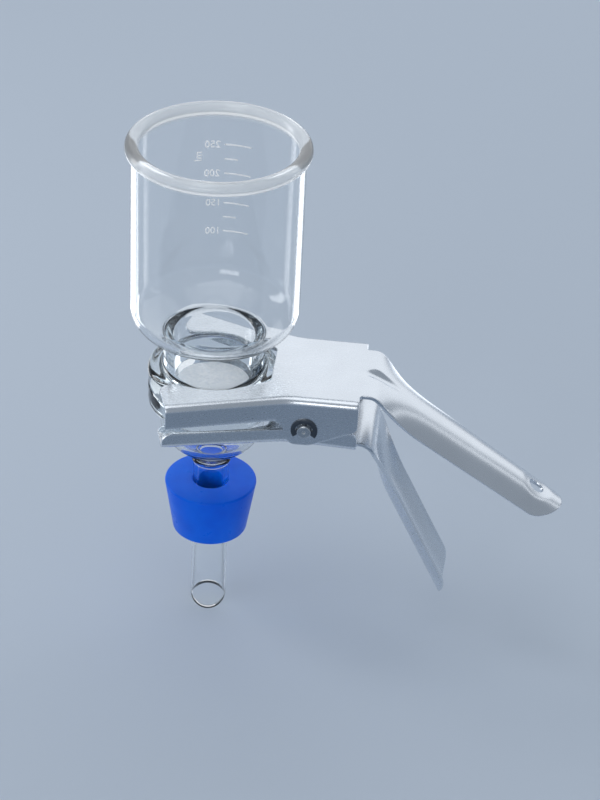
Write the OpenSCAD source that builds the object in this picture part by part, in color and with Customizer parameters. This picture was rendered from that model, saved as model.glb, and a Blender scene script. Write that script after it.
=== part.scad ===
// Vacuum filtration unit: an all-glass filter holder for 47 mm membranes, with its spring clamp.
// The origin is on the glass axis at the middle of the stopper, where a flask's mouth grips it.
// +Z runs up the glass and +X runs towards the clamp's handles.

/* [Stopper] */
// Height of the stopper
stopper_h = 25; // [18:1:35]
// Diameter of the wide top
stopper_top_d = 41; // [37:0.5:46]
// Diameter of the narrow bottom
stopper_bottom_d = 33; // [28:0.5:35]
// Radius of the stopper's edges
stopper_edge_r = 0.9; // [0.3:0.1:2]
// Radial gap between the stem and the stopper's bore
stem_fit = 0.04; // [0.01:0.01:0.1]

/* [Glass base] */
// Outer diameter of the stem
stem_d = 16; // [13:0.5:18]
// Bore of the stem
stem_bore = 11; // [8:0.5:12]
// Length of the stem below the stopper, to its longest side
stem_below = 42.8; // [30:1:60]
// Slope of the bevelled tip
tip_angle = 28; // [0:1:45]
// Turn of the tip's long side from -Y towards +X
tip_turn = 7; // [0:5:360]
// Bare stem between the stopper and the bowl
stem_above = 12.7; // [8:0.5:20]
// How far the fused ring stands out at the head of the stem
fuse_out = 0.6; // [0.2:0.1:1]
// Radius of the fused ring's section
fuse_r = 1.5; // [1.2:0.1:2]
// Height of the cone between the stem and the bowl
foot_h = 7.7; // [6:0.1:10]
// Width of the cone where it meets the bowl
foot_d = 32; // [28:0.5:36]
// Outer diameter of the bowl
bowl_d = 45.6; // [43:0.2:48]
// Radius of the bowl's round bottom
bowl_r = 15.5; // [12:0.5:18]
// Straight height of the bowl, from its round bottom to the flange
bowl_side_h = 8.6; // [5:0.1:12]
// Thickness of the bowl's glass
bowl_wall = 2.4; // [1.5:0.1:3]
// Diameter of the ground flange at the joint
base_flange_d = 56.2; // [55:0.2:60]
// Thickness of the base's flange
base_flange_h = 9.4; // [7:0.1:12]
// Rounding under the base's flange
base_flange_r = 2.2; // [1:0.1:2.6]

/* [Sintered disc] */
// Diameter of the disc
frit_d = 38; // [36:0.5:41]
// Thickness of the disc
frit_t = 4.5; // [3:0.1:6]
// Radial gap round the disc
frit_fit = 0.03; // [0.01:0.01:0.1]
// Width of the glass ledge that carries the disc
frit_ledge = 1.4; // [0.8:0.1:2]

/* [Funnel] */
// Outer diameter of the flange at the joint
funnel_flange_d = 55.6; // [55:0.2:60]
// Outer diameter of the flange at its widest, near its top
funnel_flange_top_d = 57.2; // [55:0.2:61]
// Thickness of the funnel's flange
funnel_flange_h = 10; // [7:0.1:12]
// Rounding on top of the funnel's flange
funnel_flange_r = 2.8; // [1:0.1:3]
// Bevel beside the two ground faces
ground_bevel = 0.4; // [0.2:0.1:1]
// Outer diameter of the neck
neck_d = 44; // [41:0.2:46]
// Bore of the neck
neck_bore = 35; // [30:0.5:36]
// Length of the neck between the flange and the cup
neck_h = 15.7; // [10:0.1:25]
// Fillets at both ends of the neck
neck_fillet = 2.4; // [1:0.1:4]
// Outer diameter of the cup
cup_d = 72.4; // [66:0.2:80]
// Thickness of the cup's wall
cup_wall = 2.4; // [1.8:0.1:3]
// Outer radius where the cup's wall turns into its floor
cup_corner_r = 12; // [8:0.5:16]
// Slope of the cup's floor towards the neck
cup_floor_slope = 25; // [15:1:35]
// Straight wall of the cup, from its corner to the middle of the rim
cup_side_h = 74; // [50:1:100]
// Radius of the rim's round bead
bead_r = 3; // [2.4:0.1:4]
// How far the bead stands out from the cup
bead_out = 2.5; // [1.5:0.1:3]

/* [Graduation] */
// Depth of the highest mark below the middle of the rim
mark_drop = 17; // [10:0.5:25]
// Spacing of the marks, 25 ml apart
mark_pitch = 6.9; // [6:0.1:8]
// Number of marks
mark_count = 7; // [3:2:9]
// Length of a long mark
mark_long = 12; // [8:0.2:14]
// Length of a short mark
mark_short = 6; // [4:0.2:7]
// Height of a mark's line
mark_w = 0.7; // [0.5:0.1:1]
// Thickness of the fired enamel
enamel_t = 0.15; // [0.1:0.05:0.3]
// Direction in which the marks begin, from +X towards +Y
mark_start = 93; // [60:1:120]

/* [Clamp sheet] */
// Thickness of the aluminium sheet
sheet_t = 1.6; // [1.2:0.1:2]
// Outer radius of the folds along the jaws
fold_r = 3.2; // [2.4:0.1:3.6]
// Running gap between each flange and its jaw
grip_gap = 0.02; // [0:0.01:0.1]
// Gap between the nested jaws on each side
nest_gap = 0.4; // [0.15:0.05:0.6]

/* [Clamp fork] */
// Half width of the upper jaw across its outside
body_half_w = 25.6; // [25:0.1:28]
// Distance from the glass axis to where the prongs spread
kink_x = 35; // [33:0.5:37]
// Angle by which each prong spreads
prong_spread = 17.8; // [12:0.2:22]
// Length of the upper prongs
upper_prong_l = 52.2; // [46:0.2:56]
// Length of the lower prongs
lower_prong_l = 53.6; // [46:0.2:56]
// Radius of the fork's throat round the glass
throat_r = 24.6; // [24:0.1:25.4]
// Direction of the throat's arc end at the tip side, from +X
throat_tip_a = 100; // [95:1:110]
// Direction of the throat's arc end at the pivot side, from +X
throat_root_a = 60; // [55:1:65]
// Distance from the glass axis to the inner end of the fork
throat_end_x = 26.3; // [25:0.1:28]
// Corner radius at the inner end of the fork
throat_corner_r = 3.5; // [2:0.5:5]
// Corner radius at the prongs' tips
tip_r = 5; // [3:0.5:7]

/* [Clamp walls] */
// Depth of the upper prongs' walls
upper_wall_h = 10.8; // [8:0.1:12]
// Height of the lower prongs' walls
lower_wall_h = 7.8; // [6:0.1:9]
// Height of the lower jaw's walls behind the pin
lower_rear_h = 9.4; // [7:0.1:10]
// Rounding of the lower walls' ends
lower_wall_r = 4; // [2:0.2:5]
// Distance from the glass axis to the walls' rear end
wall_rear_x = 65; // [62:0.5:68]
// Depth of the upper jaw's ears
ear_h = 23; // [21:0.2:24]
// Front of the ears, where they leave the wall
ear_front_x = 32; // [31:0.2:34]
// Distance by which the ears' front edge leans back on its way down
ear_rake = 4; // [3:0.2:5]
// Radius at the ears' front corner
ear_toe_r = 4; // [3:0.2:5]
// Rear end of the ears' lowest edge
ear_low_x = 44.6; // [44:0.2:50]
// Height of the ears' sloping edge at their rear end
ear_rear_h = 14; // [12:0.2:16]
// Radius in the corner between wall and ear
ear_inner_r = 5.4; // [3:0.2:7]
// Half width of the lower jaw's hidden ear round the pin
lower_ear_r = 6; // [5:0.2:7]

/* [Pivot] */
// Angle by which the closed lower jaw leans, its rear end down
lower_lean = 2.4; // [1.6:0.2:3]
// Distance from the glass axis to the pin
pin_x = 42.5; // [41:0.1:44]
// Depth of the pin below the upper plate's top
pin_drop = 15.3; // [14:0.1:16]
// Diameter of the pin
pin_d = 6; // [5:0.2:7]
// Radial gap between the pin and its holes
pin_fit = 0.05; // [0.01:0.01:0.1]
// Diameter of the pin's head
head_d = 9.5; // [8:0.5:11]
// Thickness of the pin's head
head_t = 1.5; // [1:0.1:2]
// Length of pin past the clip
pin_end = 1.2; // [1:0.1:2.5]
// Diameter of the clip's groove
groove_d = 5; // [4:0.1:5.2]
// Outer diameter of the clip
clip_d = 11.4; // [10:0.2:12.5]
// Thickness of the clip
clip_t = 0.8; // [0.6:0.1:1]
// Width of the clip's bow
clip_bow = 1.9; // [1.4:0.1:2.2]
// Angle of the clip's opening
clip_open = 110; // [90:5:130]
// Width of the clip's three teeth
tooth_w = 2.2; // [1.8:0.1:2.6]
// Radius of the centre mark in the pin's end
mark_r = 0.8; // [0.4:0.1:1.2]
// Depth of the centre mark
mark_depth = 0.5; // [0.3:0.1:0.8]

/* [Spring] */
// Diameter of the spring's wire
wire_d = 1.8; // [1.4:0.1:2]
// Mean radius of the coil
coil_r = 4.6; // [4.5:0.1:5]
// Full turns of the coil
coil_turns = 5; // [3:1:7]
// Pitch of the coil
coil_pitch = 2.1; // [2:0.1:2.6]
// How far the legs reach behind the pin
leg_reach = 15; // [12:0.5:17]
// Gap between each leg's end and its plate
leg_gap = 0.05; // [0:0.05:0.2]

/* [Handles] */
// Half width of both handles where they leave the plates
root_half_w = 18.5; // [16:0.5:19]
// Outer radius of the bend into each handle
bend_r = 8; // [6:0.5:10]
// Depth of both channels at their end
end_depth = 7.2; // [5:0.1:8]
// Diameter of the hang holes
hang_d = 7.5; // [5:0.5:9]
// Distance of the hang holes from the handles' ends
hang_inset = 14; // [11:0.5:18]

/* [Upper handle] */
// Distance from the glass axis to where its slope meets the plate's plane
upper_bend_x = 70.9; // [69.5:0.1:73]
// Slope of the upper handle
upper_slope = 34.2; // [30:0.2:38]
// Length of the upper handle along its slope
upper_handle_l = 102.7; // [80:0.1:120]
// Distance along it to the first full section
upper_curl_s = 28; // [20:1:40]
// Half width of the first full section
upper_curl_w = 15.8; // [14:0.1:17]
// Depth of the first full section
upper_curl_h = 6.6; // [4:0.1:7.5]
// Half width of the upper handle at its end
upper_end_w = 13; // [11:0.1:14]
// Radius of the stiffening groove across the bend
groove_r = 4; // [3:0.2:5]
// Depth of the groove below the bend's corner
groove_depth = 2.4; // [1.5:0.1:3]
// Slope of the groove's floor
groove_slope = 25; // [15:1:30]

/* [Lower handle] */
// Distance from the glass axis to where its slope meets the plate's plane
lower_bend_x = 69.7; // [69.5:0.1:73]
// Slope of the lower handle to its plate
lower_slope = 60.5; // [58:0.5:66]
// Length of the lower handle along its slope
lower_handle_l = 92; // [80:0.5:105]
// Distance along it to the first full section
lower_curl_s = 30; // [20:1:40]
// Half width of the first full section
lower_curl_w = 12.6; // [11:0.1:14]
// Depth of the first full section
lower_curl_h = 7; // [4:0.1:7.5]
// Half width of the lower handle at its end
lower_end_w = 12.4; // [12:0.1:14]

/* [Hidden] */
$fn = 96;
eps = 0.01;
// Width of the flat strip beside each fold, which lies in the plate
fold_lap = 0.4;
// Overlap of a handle's root with its bend
root_lap = 0.25;
far = 200;

// Heights of the glass, from the stem's tip to the rim
stopper_top_z = stopper_h / 2;
tip_z = -stopper_h / 2 - stem_below;
foot_z = stopper_top_z + stem_above;
foot_top_z = foot_z + foot_h;
stem_r = stem_d / 2;
foot_r = foot_d / 2;
bowl_out_r = bowl_d / 2;
bowl_c = [bowl_out_r - bowl_r, foot_top_z + sqrt(pow(bowl_r, 2) - pow(foot_r - bowl_out_r + bowl_r, 2))];
base_flange_z = bowl_c.y + bowl_side_h;
joint_z = base_flange_z + base_flange_h;
funnel_flange_z = joint_z + funnel_flange_h;
neck_r = neck_d / 2;
neck_top_z = funnel_flange_z + neck_h;
cup_r = cup_d / 2;
cup_corner_a = 90 - cup_floor_slope;
corner_c = [cup_r - cup_corner_r,
            neck_top_z + (cup_r - cup_corner_r * (1 - cos(cup_corner_a)) - neck_r) * tan(cup_floor_slope)
            + cup_corner_r * sin(cup_corner_a)];
bead_c = [cup_r + bead_out - bead_r, corner_c.y + cup_side_h];

// Planes of the two clamp plates
upper_plate_z = funnel_flange_z + grip_gap;
upper_top_z = upper_plate_z + sheet_t;
nest_half_w = body_half_w - sheet_t - nest_gap;
pin_z = upper_top_z - pin_drop;

// Where the leaning lower jaw meets the flat underside of the base's flange, and its depth below the pin
touch_run = sqrt(pow(base_flange_d / 2 - base_flange_r, 2) - pow(throat_r, 2));
touch_x = throat_r * cos(throat_tip_a) - touch_run * sin(throat_tip_a);
touch_z = base_flange_z - grip_gap;
lower_plate_d = (pin_z - touch_z) * cos(lower_lean) + (pin_x - touch_x) * sin(lower_lean);
pin_r = pin_d / 2;
clip_z = body_half_w + pin_fit;

// Points of an arc about c
function arc(c, r, a0, a1, n = 10) =
    [for (i = [0:n]) let (a = a0 + (a1 - a0) * i / n) [c.x + r * cos(a), c.y + r * sin(a)]];

function unit(v) = v / norm(v);

// The corner b of the outline a-b-c, rounded to radius r
function fillet(a, b, c, r, n) =
    let (u = unit(a - b), w = unit(c - b), half = acos(u * w) / 2, m = b + unit(u + w) * r / sin(half),
         s = b + u * r / tan(half) - m, e = b + w * r / tan(half) - m,
         a0 = atan2(s.y, s.x), turn = (atan2(e.y, e.x) - a0 + 540) % 360 - 180)
    arc(m, r, a0, a0 + turn, n);

// A closed outline of [x, y, corner radius] points
function rounded(p, n = 8) =
    let (k = len(p))
    [for (i = [0:k - 1]) let (a = p[(i + k - 1) % k], b = p[i], c = p[(i + 1) % k])
        each b[2] > 0
            ? fillet([a.x, a.y], [b.x, b.y], [c.x, c.y], b[2], n)
            : [[b.x, b.y]]];

function flipped(p) = [for (i = [len(p) - 1:-1:0]) [p[i].x, -p[i].y]];

module both_sides() {
    children();
    mirror([0, 1, 0]) children();
}

// Everything below, drawn in X and Z, becomes a wall of thickness w centred on the XZ plane
module across(w) {
    translate([0, w / 2, 0]) rotate([90, 0, 0]) linear_extrude(w) children();
}

// ---------------------------------------------------------------- glass

module funnel() {
    flange_r = funnel_flange_d / 2;
    crown_r = funnel_flange_top_d / 2;
    slope = cup_floor_slope;
    floor_z = neck_top_z + cup_wall / cos(slope);
    bore_r = neck_bore / 2;
    outside = concat(
        rounded([[bore_r, joint_z, 0], [flange_r - ground_bevel, joint_z, 0],
                 [flange_r, joint_z + ground_bevel, 0], [crown_r, funnel_flange_z, funnel_flange_r],
                 [neck_r, funnel_flange_z, neck_fillet], [neck_r, neck_top_z, neck_fillet],
                 [neck_r + neck_fillet * 2, neck_top_z + neck_fillet * 2 * tan(slope), 0]]),
        arc(corner_c, cup_corner_r, -cup_corner_a, 0));
    bead_foot_a = acos((cup_r - bead_c.x) / bead_r);
    bead_inner_a = 360 - acos((cup_r - cup_wall - bead_c.x) / bead_r);
    rim = arc(bead_c, bead_r, -bead_foot_a, bead_inner_a, 28);
    floor_line = [bore_r, floor_z + (bore_r - neck_r) * tan(slope)];
    inside = concat(
        arc(corner_c, cup_corner_r - cup_wall, 0, -cup_corner_a),
        fillet(floor_line + [10, 10 * tan(slope)], floor_line, [bore_r, joint_z], neck_fillet, 8));
    color([0.78, 0.88, 0.93, 0.45]) rotate_extrude() polygon(concat(outside, rim, inside));
}

module graduation_marks() {
    for (i = [0:mark_count - 1]) {
        length = i % 2 == 0 ? mark_long : mark_short;
        turn = length / cup_r * 180 / PI;
        z = bead_c.y - mark_drop - i * mark_pitch;
        color("white") translate([0, 0, z]) rotate([0, 0, mark_start - turn])
            rotate_extrude(angle = turn) translate([cup_r + eps, -mark_w / 2]) square([enamel_t, mark_w]);
    }
}

module base() {
    flange_r = base_flange_d / 2;
    seat_r = frit_d / 2;
    throat = seat_r - frit_ledge;
    inner_r = bowl_r - bowl_wall;
    foot_slope = atan2(foot_h, foot_r - stem_r);
    foot_a = atan2(foot_top_z - bowl_c.y, foot_r - bowl_c.x);
    bore_r = stem_bore / 2;
    inner_foot = [foot_r - bowl_wall * sin(foot_slope), foot_top_z + bowl_wall * cos(foot_slope)];
    inner_foot_a = atan2(inner_foot.y - bowl_c.y, inner_foot.x - bowl_c.x);
    bore_top_z = inner_foot.y - (inner_foot.x - bore_r) * tan(foot_slope);
    ring_a = acos((fuse_r - fuse_out) / fuse_r);
    outside = concat(
        [[bore_r, tip_z], [stem_r, tip_z]],
        arc([stem_r + fuse_out - fuse_r, foot_z - fuse_r], fuse_r, -ring_a, ring_a, 8),
        [[stem_r, foot_z]],
        arc(bowl_c, bowl_r, foot_a, 0),
        rounded([[bowl_out_r, base_flange_z, 0], [flange_r - 0.5, base_flange_z, base_flange_r],
                 [flange_r, joint_z - ground_bevel, 0], [flange_r - ground_bevel, joint_z, 0],
                 [seat_r, joint_z, 0], [seat_r, joint_z - frit_t, 0], [throat, joint_z - frit_t, 0],
                 [throat, base_flange_z - 2, 0], [bowl_out_r - bowl_wall, base_flange_z - 5, 0]]));
    inside = concat(
        arc(bowl_c, inner_r, 0, inner_foot_a),
        [inner_foot, [bore_r, bore_top_z]]);
    color([0.75, 0.86, 0.92, 0.45]) difference() {
        rotate_extrude() polygon(concat(outside, inside));
        rotate([0, 0, tip_turn]) translate([0, -stem_r, tip_z]) rotate([tip_angle, 0, 0])
            translate([-stem_d, -stem_d, -far]) cube([2 * stem_d, 4 * stem_d, far]);
    }
}

module frit_disc() {
    color([0.86, 0.88, 0.9]) translate([0, 0, joint_z - frit_t])
        cylinder(h = frit_t, d = frit_d - 2 * frit_fit);
}

module stopper() {
    color([0.02, 0.35, 0.9]) difference() {
        rotate_extrude() polygon(rounded([[0, -stopper_h / 2, 0],
            [stopper_bottom_d / 2, -stopper_h / 2, stopper_edge_r],
            [stopper_top_d / 2, stopper_h / 2, stopper_edge_r], [0, stopper_h / 2, 0]]));
        translate([0, 0, -stopper_h]) cylinder(h = 2 * stopper_h, r = stem_r + stem_fit);
    }
}

// ---------------------------------------------------------------- clamp jaws

// Outer edge of one prong, moved inwards by i: where the prong begins, and its tip
function kink_at(half_w, i) = [kink_x - i * tan(prong_spread / 2), half_w - i];
function tip_at(half_w, length, i) =
    [kink_x - length * cos(prong_spread) - i * sin(prong_spread),
     half_w + length * sin(prong_spread) - i * cos(prong_spread)];

// Where the straight lines a + s*u and b + t*v cross
function crossing(a, u, b, v) = a + u * ((b.x - a.x) * v.y - (b.y - a.y) * v.x) / (u.x * v.y - u.y * v.x);

// Plan of a jaw: the throat, the rounded prong tips and the ends, a little wider than the walls
module fork_plan(half_w, length) {
    out = -1;
    tip = tip_at(half_w, length, out);
    tip_dir = [-sin(prong_spread), -cos(prong_spread)];
    a_tip = arc([0, 0], throat_r, throat_tip_a, throat_tip_a, 1)[0];
    a_root = arc([0, 0], throat_r, throat_root_a, throat_root_a, 1)[0];
    tip_corner = crossing(tip, tip_dir, a_tip, [-sin(throat_tip_a), cos(throat_tip_a)]);
    end_corner = crossing(a_root, [sin(throat_root_a), -cos(throat_root_a)], [throat_end_x, 0], [0, 1]);
    half = concat(
        [[wall_rear_x + 2, half_w - out], kink_at(half_w, out), tip],
        fillet(tip, tip_corner, a_tip, tip_r, 8),
        arc([0, 0], throat_r, throat_tip_a, throat_root_a, 16),
        fillet(a_root, end_corner, [throat_end_x, 0], throat_corner_r, 6));
    polygon(concat(half, flipped(half)));
}

// Flat part of a jaw's sheet, its long edges inside the folds
module flat_sheet(half_w, length) {
    i = fold_r + fold_lap / 2;
    half = [[wall_rear_x + 1, half_w - i], kink_at(half_w, i) + [0.1, 0], tip_at(half_w, length + 2, i)];
    translate([0, 0, -sheet_t]) linear_extrude(sheet_t) polygon(concat(half, flipped(half)));
}

// Triangles between successive rings of n points
function ring_sides(n, rings) =
    [for (i = [0:rings - 2], k = [0:n - 1]) let (m = (k + 1) % n, a = i * n, b = a + n)
        each [[a + k, a + m, b + m], [a + k, b + m, b + k]]];

// Section of a folded edge: X outwards from the jaw's outer side, Y up from the plate's outer face
function fold_line(r, inner, height) =
    concat([[-fold_r - fold_lap, inner]], arc([-fold_r, -fold_r], r, 90, 0, 6), [[inner, -height]]);

// The folded edge along one side, from beyond the rear to beyond the prong's tip
module folded_edge(half_w, length, height) {
    outer = fold_line(fold_r, 0, height);
    inner = fold_line(fold_r - sheet_t, -sheet_t, height);
    m = len(outer);
    n = 2 * m;
    section = concat(inner, [for (i = [m - 1:-1:0]) outer[i]]);
    rings = concat(
        [for (p = section) concat([wall_rear_x + 1.5, half_w + p.x], p.y)],
        [for (p = section) concat(kink_at(half_w, -p.x), p.y)],
        [for (p = section) concat(tip_at(half_w, length + 3, -p.x), p.y)]);
    rear = [for (k = [0:m - 2]) each [[k, n - 1 - k, n - 2 - k], [k, n - 2 - k, k + 1]]];
    front = [for (f = rear) [for (i = [2:-1:0]) f[i] + 2 * n]];
    polyhedron(rings, concat(ring_sides(n, 3), rear, front));
}

// A plate with its two folded edges, its outer face at z = 0 and its walls hanging down
module folded_body(half_w, length, height) {
    intersection() {
        union() {
            flat_sheet(half_w, length);
            both_sides() folded_edge(half_w, length, height);
        }
        translate([0, 0, -far / 2]) linear_extrude(far) fork_plan(half_w, length);
    }
}

// Section of a handle, [half width, depth], its crest at height c
module crown(w, h, c) {
    r = (w * w + h * h) / (2 * h);
    a = asin(w / r);
    polygon(arc([0, c - r], r, 90 - a, 90 + a, 14));
}

// The hollow of the same section, open below
module hollow(w, h, c) {
    r = (w * w + h * h) / (2 * h);
    inner = r - sheet_t;
    a = acos((r - h) / inner);
    roof = arc([0, c - r], inner, 90 - a, 90 + a, 14);
    below = c - h - sheet_t;
    polygon(concat([[roof[0].x, below]], roof, [[roof[len(roof) - 1].x, below]]));
}

// Radius of a bend on the outer face of its plate
function face_r(turn) = turn > 0 ? bend_r : bend_r - sheet_t;

// A section stood across the handle at distance s
module slice(s) {
    translate([s, 0, 0]) rotate([90, 0, 90]) linear_extrude(eps) children();
}

// A half-round handle along X with its outer face up, from the flat root at x = 0 to a round end.
// It is full at [s, w, h] and [length, end_w, end_depth]. Its crest lies at lift times its depth.
module handle(length, s, w, h, end_w, lift) {
    // Half way to the full section the curl is 0.7 complete
    part = sin(45);
    mid_w = root_half_w + (w - root_half_w) * part;
    mid_h = h * part;
    intersection() {
        difference() {
            union() {
                hull() {
                    slice(-root_lap * 2) translate([-root_half_w, -sheet_t])
                        square([2 * root_half_w, sheet_t]);
                    slice(s / 2) crown(mid_w, mid_h, mid_h * lift);
                }
                hull() {
                    slice(s / 2) crown(mid_w, mid_h, mid_h * lift);
                    slice(s) crown(w, h, h * lift);
                }
                hull() {
                    slice(s) crown(w, h, h * lift);
                    slice(length) crown(end_w, end_depth, end_depth * lift);
                }
            }
            hull() {
                slice(-root_lap * 2 - eps) translate([-root_half_w, -2 * sheet_t])
                    square([2 * root_half_w, sheet_t]);
                slice(s / 2) hollow(mid_w, mid_h, mid_h * lift);
            }
            hull() {
                slice(s / 2) hollow(mid_w, mid_h, mid_h * lift);
                slice(s) hollow(w, h, h * lift);
            }
            hull() {
                slice(s) hollow(w, h, h * lift);
                slice(length + 1) hollow(end_w, end_depth, end_depth * lift);
            }
            translate([length - hang_inset, 0, -far / 2]) cylinder(h = far, d = hang_d);
        }
        translate([0, 0, -far / 2]) linear_extrude(far) union() {
            translate([-1, -far / 2]) square([length - end_w + 1, far]);
            translate([length - end_w, 0]) circle(end_w);
        }
    }
}

// Sheet that leaves a plate's plane at root_x and bends through the slope, its outer face at height 0:
// away from that face where turn is 1, and towards it where turn is -1
module bent_root(root_x, turn, slope) {
    c = [root_x, -turn * face_r(turn)];
    end = turn * (90 - slope + root_lap / bend_r * 180 / PI);
    across(2 * (root_half_w - eps)) polygon(concat(
        [[wall_rear_x - sheet_t, 0]],
        arc(c, face_r(turn), turn * 90, end, 8),
        arc(c, face_r(-turn), end, turn * 90, 8),
        [[wall_rear_x - sheet_t, -sheet_t]]));
}

module pin_hole() {
    translate([pin_x, 0, pin_z]) rotate([90, 0, 0]) cylinder(h = far, r = pin_r + pin_fit, center = true);
}

// Rod of radius r that lies along the groove across the upper bend
module groove_rod(r) {
    translate([upper_bend_x, 0, upper_top_z - groove_depth]) rotate([0, groove_slope, 0])
        translate([-far / 4, 0, groove_r]) rotate([0, 90, 0]) cylinder(h = far / 2, r = r);
}

module upper_jaw() {
    tangent = face_r(1) * tan(upper_slope / 2);
    root_x = upper_bend_x - tangent;
    wall_z = upper_top_z - upper_wall_h;
    low_z = upper_top_z - ear_h;
    rear_z = upper_top_z - ear_rear_h;
    outline = rounded([[-far, wall_z, 0], [ear_front_x, wall_z, ear_inner_r],
        [ear_front_x + ear_rake, low_z, ear_toe_r], [ear_low_x, low_z, 2], [wall_rear_x, rear_z, 3.5],
        [wall_rear_x, upper_top_z + 1, 0], [-far, upper_top_z + 1, 0]]);
    // What lies under the middle of the sheet, at the plate and at the handle's crest
    mid_z = upper_top_z - sheet_t / 2;
    under = [[root_x - 20, mid_z], [upper_bend_x, mid_z],
             [upper_bend_x + 40 * cos(upper_slope), mid_z - 40 * sin(upper_slope)],
             [root_x - 20, mid_z - 40]];
    color([0.85, 0.87, 0.9]) difference() {
        union() {
            intersection() {
                translate([0, 0, upper_top_z]) folded_body(body_half_w, upper_prong_l, ear_h);
                across(far) polygon(outline);
            }
            translate([0, 0, upper_top_z]) bent_root(root_x, 1, upper_slope);
            translate([upper_bend_x, 0, upper_top_z]) rotate([0, upper_slope, 0]) translate([tangent, 0, 0])
                handle(upper_handle_l - tangent, upper_curl_s, upper_curl_w, upper_curl_h, upper_end_w, 0);
            intersection() {
                groove_rod(groove_r + sheet_t);
                across(far) polygon(under);
            }
        }
        groove_rod(groove_r);
        pin_hole();
    }
}

// The lower jaw is drawn with its plate's outer face at z = 0 and its walls up, then leans on the pin
module lower_jaw() {
    tangent = face_r(-1) * tan(lower_slope / 2);
    root_x = lower_bend_x - tangent;
    pin_h = lower_plate_d + sheet_t;
    ear_top = pin_h + lower_ear_r;
    front_x = tip_at(nest_half_w, lower_prong_l, sheet_t).x;
    outline = rounded([[-far, -1, 0], [-far, sheet_t, 0], [front_x, sheet_t, 0],
        [front_x, lower_wall_h, lower_wall_r], [pin_x - lower_ear_r, lower_wall_h, 2],
        [pin_x - lower_ear_r, ear_top, 4], [pin_x + lower_ear_r, ear_top, 4],
        [pin_x + lower_ear_r, lower_rear_h, 2], [wall_rear_x, lower_rear_h, lower_wall_r],
        [wall_rear_x, -1, 0]]);
    color([0.8, 0.83, 0.87]) difference() {
        translate([pin_x, 0, pin_z]) rotate([0, lower_lean, 0]) translate([-pin_x, 0, -pin_h]) union() {
            intersection() {
                mirror([0, 0, 1]) folded_body(nest_half_w, lower_prong_l, ear_top);
                across(far) polygon(outline);
            }
            mirror([0, 0, 1]) {
                bent_root(root_x, -1, lower_slope);
                translate([lower_bend_x, 0, 0]) rotate([0, -lower_slope, 0]) translate([tangent, 0, 0])
                    handle(lower_handle_l - tangent, lower_curl_s, lower_curl_w, lower_curl_h,
                        lower_end_w, 1);
            }
        }
        pin_hole();
    }
}

// ---------------------------------------------------------------- pivot

// Frame of the pin: Z towards the clip's side, -Y of the part
module on_pin() {
    translate([pin_x, 0, pin_z]) rotate([90, 0, 0]) children();
}

module pivot_pin() {
    color([0.72, 0.73, 0.75]) on_pin() {
        difference() {
            translate([0, 0, -body_half_w]) cylinder(h = clip_z + clip_t + pin_end + body_half_w, r = pin_r);
            translate([0, 0, clip_z]) difference() {
                cylinder(h = clip_t + pin_fit, r = pin_r + 1);
                translate([0, 0, -1]) cylinder(h = clip_t + 3, d = groove_d);
            }
            translate([0, 0, clip_z + clip_t + pin_end - mark_depth])
                cylinder(h = mark_depth + 1, r = mark_r);
        }
        translate([0, 0, -body_half_w - head_t]) cylinder(h = head_t, d = head_d);
    }
}

module retaining_clip() {
    r = clip_d / 2;
    half = clip_open / 2;
    open_l = 2 * r * [sin(half), -cos(half)];
    open_r = [-open_l.x, open_l.y];
    color([0.2, 0.21, 0.23]) on_pin() translate([0, 0, clip_z]) linear_extrude(clip_t) difference() {
        union() {
            difference() {
                circle(r);
                circle(r - clip_bow);
            }
            intersection() {
                circle(r - clip_bow / 2);
                for (a = [90, half - 70, 250 - half])
                    rotate(a) translate([0, -tooth_w / 2]) square([r, tooth_w]);
            }
        }
        circle(groove_d / 2 + pin_fit);
        polygon([[0, 0], open_l, [0, -3 * r], open_r]);
    }
}

// Points of a closed ring of n corners, radius r, at p, facing along d and square to the Y axis
function wire_ring(p, d, r, n) =
    let (f = unit(d), side = unit(cross(f, [0, 1, 0])), up = cross(side, f))
    [for (i = [0:n - 1]) let (a = 360 * i / n) p + r * (cos(a) * side + sin(a) * up)];

// A round wire through the given points
module wire(path, r, n = 8) {
    last = len(path) - 1;
    rings = [for (i = [0:last]) wire_ring(path[i], path[min(i + 1, last)] - path[max(i - 1, 0)], r, n)];
    points = [for (ring = rings) each ring];
    start = [for (k = [1:n - 2]) [0, k + 1, k]];
    finish = [for (k = [1:n - 2]) [last * n, last * n + k, last * n + k + 1]];
    polyhedron(points, concat(ring_sides(n, last + 1), start, finish));
}

// The legs leave the coil along its tangents and end against the two plates
module torsion_spring() {
    wire_r = wire_d / 2;
    upper_end = [leg_reach, upper_plate_z - pin_z - wire_r - leg_gap];
    leg_drop = leg_reach * tan(lower_lean);
    lower_end = [leg_reach, (wire_r + leg_gap - lower_plate_d) / cos(lower_lean) - leg_drop];
    start_a = atan2(upper_end.y, upper_end.x) + acos(coil_r / norm(upper_end));
    end_a = 360 + atan2(lower_end.y, lower_end.x) - acos(coil_r / norm(lower_end));
    sweep = end_a - start_a + 360 * coil_turns;
    steps = ceil(sweep / 30);
    half_l = sweep / 360 * coil_pitch / 2;
    coil = [for (i = [0:steps]) let (a = start_a + sweep * i / steps)
        [coil_r * cos(a), half_l - 2 * half_l * i / steps, coil_r * sin(a)]];
    color([0.6, 0.61, 0.64]) translate([pin_x, 0, pin_z])
        wire(concat([[upper_end.x, half_l, upper_end.y]], coil,
            [[lower_end.x, -half_l, lower_end.y]]), wire_r);
}

funnel();
graduation_marks();
base();
frit_disc();
stopper();
upper_jaw();
lower_jaw();
pivot_pin();
retaining_clip();
torsion_spring();
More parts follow.
